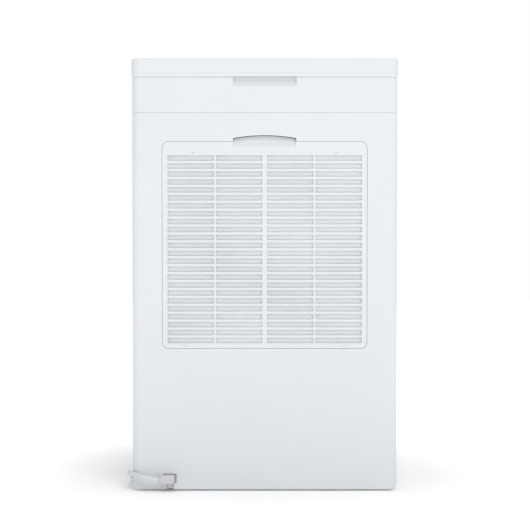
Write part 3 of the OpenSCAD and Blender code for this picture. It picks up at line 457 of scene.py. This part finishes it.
def seat_profile(p):
    """The opening's edge: a lip with a stop behind the cover, left out behind the arch."""
    edge = fillet(0.25)
    if p[1] > COVER_Z1 + COVER_GAP + 0.5 and abs(p[0]) < SCOOP_W / 2 + 0.1:
        steps = ((0, 0.6), (0, 0.4), (0.1, 0.2), (0.2, 0.1), (1.0, 0), (2.1, 0))
        return edge + [(offset, WALL - short) for offset, short in steps]
    return edge + [(0, 13.2), (-0.4, 13.6), (-7.9, 13.6), (-7.9, 16), (2.1, 16), (2.1, WALL)]


def housing_ring(bm, end, edge_u):
    """The inturned flange at the foot of a housing, with its screw holes."""
    def place(x, y, depth):
        z = HOUSING_Z0 + depth
        limit = side_limit(z) - 0.4
        return Vector((max(-limit, min(limit, x)), end * y, z)) * MM
    outer_path = []
    for u in sorted(set([-edge_u, edge_u] + [-u for u in ARC_U] + ARC_U)):
        p = wrap(u, 300.0, 0.5, 1.0) / MM
        outer_path.append((p.x, p.y))
    ix, iy = HW - RING_W, HD - RING_W
    y_end = outer_path[0][1]
    inner_path = [(ix, y_end), (ix, iy - 3), (ix - 0.9, iy - 0.9), (ix - 3, iy)]
    inner_path += [(-x, y) for x, y in reversed(inner_path)]
    loop = outer_path + inner_path
    if sum(a[0] * b[1] - b[0] * a[1] for a, b in zip(loop, loop[1:] + loop[:1])) < 0:
        loop = loop[::-1]
    bore = fillet(0.3) + [(0, 2.9), (-2.1, 3.0), (-2.1, RING_H)]
    holes = [(circle(x, HD - RING_W / 2 - 0.6, 4.4, 24), bore) for x in (-90, 0, 90)]
    if end < 0:
        loop = cut_notch(loop)
    flat = [(0.0, 0.02), (0, 1), (0, 2), (0, 4), (0, 6), (0, 7), (0, RING_H)]
    plate(bm, split_long(loop, 60), flat, [(h, resample(b, len(flat))) for h, b in holes], place)


def resample(profile, count):
    """Same profile with points repeated by splitting, so that it has count pairs."""
    profile = list(profile)
    while len(profile) < count:
        k = max(range(len(profile) - 1), key=lambda i: math.dist(profile[i], profile[i + 1]))
        a, b = profile[k], profile[k + 1]
        profile.insert(k + 1, ((a[0] + b[0]) / 2, (a[1] + b[1]) / 2))
    return profile[:count - 1] + [profile[-1]]


def cut_notch(loop):
    """Opens the ring's outer side where the cord's boot passes."""
    x0, x1 = NOTCH_X
    y_in = HD - RING_W + 1.5
    out = []
    for i, a in enumerate(loop):
        b = loop[(i + 1) % len(loop)]
        out.append(a)
        if a[1] > HD - 2 and b[1] > HD - 2 and min(a[0], b[0]) < x0 and max(a[0], b[0]) > x1:
            ends = [x0, x1] if a[0] < b[0] else [x1, x0]
            out += [(ends[0], a[1]), (ends[0], y_in), (ends[1], y_in), (ends[1], a[1])]
    return out


# ---------------------------------------------------------------- shells
def build_rear_housing():
    bm = bmesh.new()
    edge_u = u_at_side(-SPLIT_Y + 0.1)
    (x0, x1), (z0, z1) = NOTCH_X, NOTCH_Z
    notch = [(FOOT_X[0], HOUSING_Z0), (FOOT_X[0], z0), (x0, z0), (x0, z1), (x1, z1), (x1, z0),
             (FOOT_X[1], z0), (FOOT_X[1], HOUSING_Z0)]
    outer = band_outline(edge_u, HOUSING_Z0, HOUSING_Z1, notch)
    edge = fillet(0.2) + [(0, 1.0), (0, 1.4), (0, 1.8), (0, 2.2), (0, 2.6), (0, WALL)]
    spout_u = u_at_side(-SPOUT_Y)
    cup = fillet(0.6) + [(0, 19.4), (-0.6, 20), (-11.5, 20), (-11.5, 22), (2.5, 22), (2.5, WALL)]
    holes = [(opening_loop(), seat_profile), (circle(spout_u, SPOUT_Z, 20.5, 64), cup)]
    plate(bm, outer, edge, holes, lambda u, z, d: wrap(u, z, d, -1.0),
          lines=band_lines(edge_u, HOUSING_Z0, HOUSING_Z1, 3.4))
    housing_ring(bm, -1.0, edge_u)
    # pocket behind the arch
    half, top = SCOOP_W / 2, COVER_Z1 + ARCH_END + ARCH_RISE
    y0, y1 = -HD + WALL - 0.4, -HD + 22
    add_box(bm, -half - 3, half + 3, y1 - 2, y1, COVER_Z1 - 1, top + 9, 0.3)
    add_box(bm, -half - 3, half + 3, y0, y1 - 2, top + 7, top + 9, 0.3)
    for s in (-1, 1):
        xs = sorted((s * (half + 1), s * (half + 3)))
        add_box(bm, xs[0], xs[1], y0, y1 - 2, COVER_Z1 - 1, top + 7, 0.3)
    return add_piece("rear_housing_shell", bm, "shell_white", "cabinet", ["rear_housing"])


def build_front_housing():
    bm = bmesh.new()
    edge_u = u_at_side(SPLIT_Y + 0.1)
    outer = band_outline(edge_u, HOUSING_Z0, HOUSING_Z1)
    edge = fillet(0.2) + [(0, 1.4), (0, 2.0), (0, WALL)]
    w, z0, z1 = FRONT_W + 2 * FRONT_GAP, FRONT_Z0 - FRONT_GAP, FRONT_Z1 + FRONT_GAP
    bucket_hole = split_long(rrect(w, z1 - z0, 10, 0, (z0 + z1) / 2), 80)
    outlet_z = (OUTLET_Z0 + OUTLET_Z1) / 2
    outlet_hole = split_long(rrect(OUTLET_W + 1, OUTLET_Z1 - OUTLET_Z0 + 1, 6.5, 0, outlet_z), 80)
    rim = fillet(0.5) + [(0, 1.4), (0, 2.0), (0, WALL)]
    plate(bm, outer, edge, [(bucket_hole, rim), (outlet_hole, rim)],
          lambda u, z, d: wrap(u, z, d, 1.0), lines=band_lines(edge_u, HOUSING_Z0, HOUSING_Z1, 3.4))
    housing_ring(bm, 1.0, edge_u)
    return add_piece("front_housing_shell", bm, "shell_white", "cabinet", ["front_housing"])


def smooth(x):
    x = max(0.0, min(1.0, x))
    return x * x * (3 - 2 * x)


def grip_dent(u, v, z_top):
    """Finger recess under an edge at z_top: deepest at the top, with rounded lower corners."""
    h = 13.0
    t = (v - (z_top - h)) / (h - 2)
    if t <= 0 or abs(u) > SCOOP_W / 2 + 1:
        return 0.0
    corner = 7.0
    low = max(0.0, corner - (v - (z_top - h)))
    half = SCOOP_W / 2 - (corner - math.sqrt(max(0.0, corner ** 2 - low ** 2)))
    return SCOOP_IN * math.sin(math.pi / 2 * min(1.0, t)) * smooth((half - abs(u)) / 2.2 + 0.5)


def collar_samples():
    """(x, y, outward x, outward y, grip offset) all the way round, with close steps at the grips."""
    r = CORNER
    fine = [-52 + i * 1.3 for i in range(81)]
    out = []
    def flat(length):
        return sorted(set([-length] + [f for f in fine if abs(f) < length] + [length]))
    legs = [(HD - r, (1, 0), (0, 1)), (HW - r, (0, 1), (-1, 0)),
            (HD - r, (-1, 0), (0, -1)), (HW - r, (0, -1), (1, 0))]
    for index, (half, normal, along) in enumerate(legs):
        reach = HW if normal[0] else HD
        for t in flat(half):
            grip = t if index != 1 else None
            x, y = normal[0] * reach + along[0] * t, normal[1] * reach + along[1] * t
            out.append((x, y, normal[0], normal[1], grip))
        nxt = legs[(index + 1) % 4][1]
        cx, cy = normal[0] * (HW - r) + nxt[0] * (HW - r), normal[1] * (HD - r) + nxt[1] * (HD - r)
        for k in range(1, 10):
            a = math.pi / 2 * k / 10
            nx = normal[0] * math.cos(a) + nxt[0] * math.sin(a)
            ny = normal[1] * math.cos(a) + nxt[1] * math.sin(a)
            out.append((cx + r * nx, cy + r * ny, nx, ny, None))
    return out


def build_collar():
    bm = bmesh.new()
    f, foot, tongue, foot_z, head_z = 0.3, 0.9, 0.45, HOUSING_Z1 + 0.03, LID_Z0 - 0.05
    rows = [(foot, foot_z), (foot, COLLAR_Z0)]
    turns = [math.pi / 2 * k / 3 for k in range(4)]
    rows += [(f * (1 - math.sin(a)), COLLAR_Z0 + f * (1 - math.cos(a))) for a in turns]
    zs = [COLLAR_Z0 + 6, COLLAR_Z0 + 30] + [COLLAR_Z1 - 14 + 0.75 * i for i in range(18)]
    rows += [(0.0, z) for z in zs]
    f = 0.4
    rows += [(f * (1 - math.cos(a)), COLLAR_Z1 - f + f * math.sin(a)) for a in turns]
    rows += [(tongue, COLLAR_Z1), (tongue, head_z)]
    samples = collar_samples()
    rings = []
    for inset, z in rows:
        ring = []
        for x, y, nx, ny, grip in samples:
            d = inset + (grip_dent(grip, z, COLLAR_Z1) if grip is not None else 0.0)
            ring.append(Vector((x - nx * d, y - ny * d, z)) * MM)
        rings.append(ring)
    back = [foot_z, COLLAR_Z0 + 30] + [COLLAR_Z1 - 15 + 3 * i for i in range(5)] + [head_z]
    for z in reversed(back):
        ring = []
        dent_z = z + 2.0 if z < COLLAR_Z1 else z
        for x, y, nx, ny, grip in samples:
            d = WALL + (grip_dent(grip, dent_z, COLLAR_Z1) if grip is not None else 0.0)
            ring.append(Vector((x - nx * d, y - ny * d, z)) * MM)
        rings.append(ring)
    rows = [[bm.verts.new(p) for p in ring] for ring in rings]
    join_rows(bm, zip(rows, rows[1:] + rows[:1]))
    return add_piece("collar_band", bm, "shell_white", "cabinet", ["top_collar"])


def build_lid():
    bm = bmesh.new()
    outline = split_long(rrect(LID_W, LID_D, CORNER + 1, steps=12), 60)
    h = LID_H
    groove = [(0, 20.6), (0.1, 20.7), (0.35, 20.8), (0.35, 21.3), (0.1, 21.4), (0, 21.5)]
    profile = fillet(3.0, 6) + groove + [(0, h - 0.9), (0.12, h - 0.4), (0.5, h)]
    profile += [(WALL - 0.3, h), (WALL, h - 0.3), (WALL, 3.2)]
    seat = rrect(PANEL_W + 0.6, PANEL_Y1 - PANEL_Y0 + 0.6, 8.3, 0, (PANEL_Y0 + PANEL_Y1) / 2, steps=8)
    step = resample(fillet(0.3) + [(0, 1.6), (-7.7, 1.6), (-7.7, 3.2)], len(profile))
    plate(bm, outline, profile, [(split_long(seat, 60), step)],
          lambda x, y, d: Vector((x, y, TOTAL_H - d)) * MM)
    for x in (-104, 104):
        for y in (64, 120):
            rings = [[Vector((x + r * math.cos(a), y + r * math.sin(a), z)) * MM
                      for a in [2 * math.pi * i / 20 for i in range(20)]] for r, z in
                     ((1.4, 602), (1.4, 599.7), (3.7, 599.7), (4, 600), (4, 613))]
            skin_rings(bm, rings)
    reach = SCOOP_W / 2 + 4
    add_box(bm, -reach, reach, -HD + 1.2, -HD + 20, LID_Z0 + 0.3, LID_Z0 + 2, 0.2)
    for s in (-1, 1):
        xs = sorted((s * (HW - 1.2), s * (HW - 20)))
        add_box(bm, xs[0], xs[1], -reach, reach, LID_Z0 + 0.3, LID_Z0 + 2, 0.2)
    return add_piece("lid_shell", bm, "shell_white", "cabinet", ["top_lid"])


def cover_dent(u, v):
    half = SCOOP_W / 2 - 0.5
    t = (v - DISH_Z0) / (DISH_TOP - 1.2 - DISH_Z0)
    if t <= 0:
        return 0.0
    side = smooth((half + 0.5 - abs(u)) / 1.0)
    return SCOOP_IN * math.sin(math.pi / 2 * min(1.0, t)) * side


def build_filter_cover():
    bm = bmesh.new()
    skin = COVER_SKIN
    half = SCOOP_W / 2 - 0.5
    loop = rrect(COVER_W, COVER_Z1 - COVER_Z0, COVER_R, 0, (COVER_Z0 + COVER_Z1) / 2, steps=8)
    bump = [(half + 1.2, COVER_Z1), (half, COVER_Z1), (half, COVER_Z1 + 1.5)]
    arch_x = [half * math.cos(math.pi * i / 24) for i in range(1, 24)]
    bump += [(x, arch_height(x) - DISH_GAP) for x in arch_x]
    bump += [(-half, COVER_Z1 + 1.5), (-half, COVER_Z1), (-half - 1.2, COVER_Z1)]
    outer = split_long(loop[:9] + bump + loop[9:], 40)

    def rim(p):
        if abs(p[0]) <= half + 0.1 and p[1] > COVER_Z1 - 0.1:
            return fillet(0.35) + [(0, 0.9), (0, 1.3), (0.1, 1.6), (0.3, 1.7), (0.5, 1.8)]
        return fillet(0.5) + [(0, 11.7), (0.3, COVER_DEPTH), (1.7, COVER_DEPTH), (2.0, 11.7), (2.0, skin)]

    inner_edge = ((0, 0.9), (0, 0.5), (0.05, 0.25), (0.12, 0.1), (0.3, 0))
    slot_edge = fillet(0.4) + [(offset, skin - short) for offset, short in inner_edge]
    holes = []
    for row in range(SLOT_ROWS):
        z1 = SLOT_TOP - row * SLOT_PITCH
        for x0, x1 in ((SLOT_X[0], SLOT_X[1]), (SLOT_X[2], SLOT_X[3])):
            for s in (-1, 1):
                slot = rrect(x1 - x0, SLOT_H, 0.8, s * (x0 + x1) / 2, z1 - SLOT_H / 2, steps=3)
                holes.append((slot, slot_edge))
    mark_edge = fillet(0.12) + [(0, 0.7), (0, 1.0), (0, 1.3), (0, 1.6), (0, skin)]
    marks = [(s * x, z) for s in (-1, 1) for x, z in zip(MARK_X, MARK_UP)]
    for x, z in marks:
        holes.append((rrect(3.6, 1.1, 0.35, x, z, steps=2), mark_edge))
    steiner = []
    xs = [-half - 2.4 + 1.0 * i for i in range(4)] + [half + 2.4 - 1.0 * i for i in range(4)]
    xs += [-half + 3 + (2 * half - 6) * i / 28 for i in range(29)]
    for x in xs:
        for i in range(12):
            z = DISH_Z0 - 0.6 + 0.75 * i
            if z < COVER_Z1 - 0.9:
                steiner.append((x, z))
    for i in range(29):
        x = (-half + 3) + (2 * half - 6) * i / 28
        top = arch_height(x) - DISH_GAP
        for z in (COVER_Z1, COVER_Z1 + 1.6, COVER_Z1 + 3.0):
            if z < top - 1.0:
                steiner.append((x, z))
    plate(bm, outer, rim, holes, lambda u, z, d: Vector((u, -HD + d, z)) * MM, steiner=steiner,
          dent=cover_dent)
    for x, z in marks:
        add_box(bm, x - 2.6, x + 2.6, -HD + skin - 0.7, -HD + skin + 0.5, z - 1.0, z + 1.0, 0.1)
    for s in (-1, 1):
        hook, latch = s * MARK_X[1], s * MARK_X[0]
        add_box(bm, hook - 5.5, hook + 5.5, -HD + 9, -HD + 11, COVER_Z0 - 3.4, COVER_Z0 + 2.5, 0.3)
        add_box(bm, latch - 6, latch + 6, -HD + 6, -HD + 10, COVER_Z1 - 0.6, COVER_Z1 + 0.7, 0.3)
    return add_piece("intake_cover_panel", bm, "shell_white", "intake_cover", ["filter_cover"],
                     smooth_angle=30)


def build_filter_net():
    """Woven net: two sets of flat strands, over and under."""
    bm = bmesh.new()
    x1, z1 = SLOT_X[3] + 2, SLOT_TOP + 1
    z0 = SLOT_TOP - SLOT_ROWS * SLOT_PITCH + 1.4
    pitch, w = 1.5, 1.3
    y = -HD + 3.0
    n = int(2 * x1 / pitch)
    for i in range(n + 1):
        x = -x1 + w / 2 + i * (2 * x1 - w) / n
        add_strand(bm, x - w / 2, x + w / 2, y - 0.36, y + 0.0, z0, z1)
    n = int((z1 - z0) / pitch)
    for i in range(n + 1):
        z = z0 + w / 2 + i * (z1 - z0 - w) / n
        add_strand(bm, -x1, x1, y - 0.12, y + 0.24, z - w / 2, z + w / 2)
    return add_piece("filter_net_weave", bm, "net_grey", "intake_cover", ["filter_net"])


def add_strand(bm, x0, x1, y0, y1, z0, z1):
    c = [bm.verts.new(Vector((x, y, z)) * MM) for x in (x0, x1) for y in (y0, y1) for z in (z0, z1)]
    for f in ((0, 1, 3, 2), (4, 6, 7, 5), (0, 4, 5, 1), (2, 3, 7, 6), (0, 2, 6, 4), (1, 5, 7, 3)):
        bm.faces.new([c[i] for i in f])


def build_bucket_front():
    bm = bmesh.new()
    outline = split_long(rrect(FRONT_W, FRONT_Z1 - FRONT_Z0, 9, 0, (FRONT_Z0 + FRONT_Z1) / 2, steps=8), 40)
    z_top = FRONT_Z1 - 8

    def dent(u, v):
        if v > z_top + 0.8:
            return 0.0
        h = 18.0
        t = (v - (z_top - h)) / (h - 5)
        if t <= 0 or abs(u) > SCOOP_W / 2 + 1:
            return 0.0
        fade = smooth((z_top - v) / 0.8 + 0.5) if v > z_top - 0.8 else 1.0
        low = max(0.0, 8.0 - (v - (z_top - h)))
        half = SCOOP_W / 2 - (8.0 - math.sqrt(max(0.0, 64.0 - low ** 2)))
        return SCOOP_IN * min(1.0, t) * smooth((half - abs(u)) / 2.0 + 0.5) * fade

    window = rrect(22.4, 76.4, 4.2, 0, 137, steps=6)
    edge = fillet(0.9, 4) + [(0, 5.5), (0.3, 5.9)]
    steiner = []
    for i in range(75):
        x = -50 + 100 * i / 74
        for j in range(26):
            steiner.append((x, z_top - 19.5 + 0.9 * j))
    plate(bm, outline, edge, [(window, resample(fillet(0.4) + [(0, 5.9)], len(edge)))],
          lambda u, z, d: Vector((-u, HD - d, z)) * MM, steiner=steiner, dent=dent)
    return add_piece("bucket_front_panel", bm, "shell_white", "bucket", ["bucket_front"], smooth_angle=38)


# ---------------------------------------------------------------- cord
def cord_points():
    tilt = math.radians(NOSE_TILT)
    tip = Vector(NOSE_TIP)
    points = [tip + s * Vector((-math.sin(tilt), 0, math.cos(tilt))) for s in (-7, 0, 6)]
    for i, z in enumerate(BEND_HEIGHTS):
        a = math.radians(15 * i)
        x, y = CORD_SIDE + CORD_BEND * (1 - math.sin(a)), CORD_Y + CORD_BEND * (1 - math.cos(a))
        points.append(Vector((x, y, z)))
    for dx, y, z in ((0, -108, 20.6), (0, -94, 16.8), (0, -80, 13.0), (0, -66, 9.6), (0, -52, 6.9),
                     (-0.1, -38, 5.2), (-0.2, -24, 4.3)):
        points.append(Vector((CORD_SIDE + dx, y, z)))
    for y in (-8, 20, 60, 100, 140, 177.2):
        points.append(Vector((LIE_X, y, 3.9)))
    turns, pitch, per_turn = 5.25, 8.0, 28
    steps = int(turns * per_turn)
    for i in range(steps + 1):
        t = turns * i / steps
        a = math.radians(180 - 360 * t)
        half = turns / 2
        r = 53.0 - pitch * min(t, turns - t)
        z = 3.9 + 7.6 * smooth((t - half + 0.14) / 0.28)
        points.append(Vector((COIL_C[0] + r * math.cos(a), COIL_C[1] + r * math.sin(a), z)))
    for x in (-128, -114, PLUG_X + 1):
        points.append(Vector((x, PLUG_Y, TAIL_Z)))
    return [p * MM for p in points]


def build_cord():
    points = cord_points()
    curve = bpy.data.curves.new("mains_cord", "CURVE")
    curve.dimensions = "3D"
    curve.bevel_depth = CORD_R * MM
    curve.bevel_resolution = 5
    curve.resolution_u = 6
    curve.use_fill_caps = True
    spline = curve.splines.new("NURBS")
    spline.points.add(len(points) - 1)
    for point, co in zip(spline.points, points):
        point.co = (*co, 1)
    spline.order_u = 4
    spline.use_endpoint_u = True
    curve.materials.append(MATS["cord_white"])
    obj = bpy.data.objects.new("mains_cord", curve)
    bpy.context.scene.collection.objects.link(obj)
    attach(obj, "cabinet")
    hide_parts("power_cord", "cord_coil")
    return obj


def build_boot():
    """Right-angle strain relief: one moulding that swells from the ribbed nose to a block in the notch."""
    bm = bmesh.new()
    # x, centre y, centre z, half depth, half height, squareness (1 is round)
    nose_y = CORD_Y
    stations = [(-150.6, nose_y, 17.0, 4.1, 4.1, 1.0), (-150.2, nose_y, 16.9, 4.5, 4.5, 1.0),
                (-149.2, nose_y, 16.8, 4.9, 4.9, 1.0), (-148.9, nose_y, 16.7, 4.5, 4.5, 1.0),
                (-148.3, nose_y, 16.7, 4.6, 4.6, 1.0), (-148.0, nose_y, 16.7, 5.2, 5.2, 1.0),
                (-147.0, nose_y + 0.3, 16.8, 5.5, 5.6, 0.9), (-145.4, nose_y + 1.6, 17.0, 6.8, 6.0, 0.76),
                (-143.4, nose_y + 4.0, 17.3, 9.1, 6.2, 0.62), (-141.4, nose_y + 6.2, 17.5, 11.2, 6.1, 0.52),
                (-138.0, nose_y + 7.3, 17.7, 12.0, 5.9, 0.46), (-130.4, nose_y + 7.4, 17.7, 12.0, 5.9, 0.46),
                (-129.0, nose_y + 7.4, 17.7, 11.6, 5.5, 0.48), (-128.3, nose_y + 7.4, 17.7, 10.6, 4.6, 0.54)]
    skin_rings(bm, [squared_ring(x, y, z, deep, high, 2 / (2 + (1 - k) * 6), 44)
                    for x, y, z, deep, high, k in stations])
    add_box(bm, -138.4, -131.0, -HD - 4, -HD + 7.6, HOUSING_Z0 + 2.2, 14.0, 0.9)
    add_box(bm, -143.8, -126.2, -HD + 3.2, -HD + 4.8, 11.6, 24.8, 0.3)
    return add_piece("cord_boot", bm, "boot_grey", "cabinet", ["cord_gland"], smooth_angle=46)


def build_plug():
    """Moulded plug: ribbed neck and a body that swells and rounds to its flat face."""
    bm = bmesh.new()
    stations = []
    for i in range(26):
        s = i * 0.96
        rib = 0.5 * (0.5 - 0.5 * math.cos(2 * math.pi * s / 3.6)) if s < 22 else 0
        r = 4.5 + 1.0 * smooth(s / 24) - rib * 0.8
        stations.append((s, r, r, 1.0))
    stations += [(26, 7.2, 6.6, 0.9), (27.5, 9.6, 8.6, 0.8), (30, 11.2, 10.2, 0.7), (34, 11.9, 10.9, 0.6),
                 (38, 11.4, 10.6, 0.58), (43, 11.7, 10.8, 0.56), (48, 12.3, 11.2, 0.52),
                 (52.4, 12.4, 11.25, 0.5), (53.6, 12.0, 10.9, 0.5), (54.0, 11.2, 10.2, 0.5)]
    skin_rings(bm, [squared_ring(PLUG_X + s, PLUG_Y, TAIL_Z, w, h, 2 / (2 + (1 - k) * 4), 40)
                    for s, w, h, k in stations])
    return add_piece("plug_body", bm, "cord_white", "cabinet", ["plug"], smooth_angle=50)


# ---------------------------------------------------------------- carried-over frame nodes
BEVELS = {
    "base_pan": 0.5, "control_panel": 0.2, "display_window": 0.2, "outlet_louvre": 0.4, "bucket_bay": 0.5,
    "drip_tray": 0.4, "bucket_tub": 0.5, "bucket_lid": 0.4, "bucket_handle": 0.9, "bucket_float": 0.6,
    "bucket_window": 0.25, "filter_frame": 0.3, "control_board": 0.15, "fan_scroll": 0.4, "outlet_duct": 0.4,
    "bucket_switch": 0.4, "humidity_sensor": 0.2, "cord_tie": 0.3,
}


def finish_cad_nodes():
    slots = {s["node"]: s["material_slot"] for s in frame["record"]["subparts"]}
    for name, obj in NODES.items():
        if obj.hide_render:
            continue
        obj.data.materials.clear()
        obj.data.materials.append(MATS[slots[name]])
        weld = obj.modifiers.new("weld", "WELD")
        weld.merge_threshold = 2e-6
        if name in BEVELS:
            bevel = obj.modifiers.new("bevel", "BEVEL")
            bevel.width = BEVELS[name] * MM
            bevel.segments = 2
            bevel.limit_method = "ANGLE"
            bevel.angle_limit = math.radians(50)
            bevel.use_clamp_overlap = True
            bevel.harden_normals = False


# ---------------------------------------------------------------- stage
SKY, KEY, TOP = 0.48, 57.0, 38.0                      # sky strength, light powers in watts
# painted light: how strongly the floor glows near the object and far from it, and the distances in metres
# over which the glow rises
NEAR_GLOW, FAR_GLOW, GLOW_REACH = 0.1, 0.6, (0.15, 0.7)


def build_stage():
    bm = bmesh.new()
    bmesh.ops.create_grid(bm, x_segments=1, y_segments=1, size=6.0)
    mesh = bpy.data.meshes.new("floor")
    bm.to_mesh(mesh)
    bm.free()
    mat, tree, bsdf = new_material("floor_glowing_white")
    fine = add_noise(tree, 3.0, 2.0)
    paper_tones = [(0.3, (0.96, 0.96, 0.96)), (0.7, (0.97, 0.97, 0.97))]
    tree.links.new(add_ramp(tree, fine, paper_tones), bsdf.inputs["Base Color"])
    bsdf.inputs["Roughness"].default_value = 0.9
    bsdf.inputs["Specular IOR Level"].default_value = 0.1
    # painted light: the floor glows, faintly near the object and more strongly away from it, so that it has
    # no horizon; the glow also lights the object from below
    coords = tree.nodes.new("ShaderNodeTexCoord")
    reach = tree.nodes.new("ShaderNodeVectorMath")
    reach.operation = "LENGTH"
    tree.links.new(coords.outputs["Object"], reach.inputs[0])
    glow = tree.nodes.new("ShaderNodeMapRange")
    glow.interpolation_type = "SMOOTHSTEP"
    for key, value in zip(("From Min", "From Max", "To Min", "To Max"), (*GLOW_REACH, NEAR_GLOW, FAR_GLOW)):
        glow.inputs[key].default_value = value
    tree.links.new(reach.outputs["Value"], glow.inputs["Value"])
    tree.links.new(glow.outputs["Result"], bsdf.inputs["Emission Strength"])
    bsdf.inputs["Emission Color"].default_value = (1, 1, 1, 1)
    mesh.materials.append(mat)
    floor = bpy.data.objects.new("floor", mesh)
    bpy.context.scene.collection.objects.link(floor)
    world = bpy.data.worlds.new("studio")
    bpy.context.scene.world = world
    world.use_nodes = True
    tree = world.node_tree
    back = tree.nodes["Background"]
    back.inputs["Color"].default_value = (1.0, 1.0, 1.0, 1)
    back.inputs["Strength"].default_value = SKY
    paper = tree.nodes.new("ShaderNodeBackground")
    paper.inputs["Color"].default_value = (1.0, 1.0, 1.0, 1)
    mix = tree.nodes.new("ShaderNodeMixShader")
    path = tree.nodes.new("ShaderNodeLightPath")
    tree.links.new(path.outputs["Is Camera Ray"], mix.inputs["Fac"])
    tree.links.new(back.outputs["Background"], mix.inputs[1])
    tree.links.new(paper.outputs["Background"], mix.inputs[2])
    tree.links.new(mix.outputs["Shader"], tree.nodes["World Output"].inputs["Surface"])

    def area(name, location, target, size, power):
        data = bpy.data.lights.new(name, "AREA")
        data.shape = "RECTANGLE"
        data.size, data.size_y = size
        data.energy = power
        light = bpy.data.objects.new(name, data)
        light.location = location
        direction = Vector(target) - Vector(location)
        light.rotation_euler = direction.to_track_quat("-Z", "Y").to_euler()
        bpy.context.scene.collection.objects.link(light)

    area("key", (0.9, -3.2, 3.6), (0, 0, 0.3), (2.0, 2.0), KEY)
    area("top", (0, -0.2, 3.4), (0, 0, 0), (5.0, 5.0), TOP)


cord = build_cord()
build_boot()
plug = build_plug()
build_rear_housing()
build_front_housing()
build_collar()
build_lid()
build_filter_cover()
build_filter_net()
build_bucket_front()
finish_cad_nodes()
build_stage()
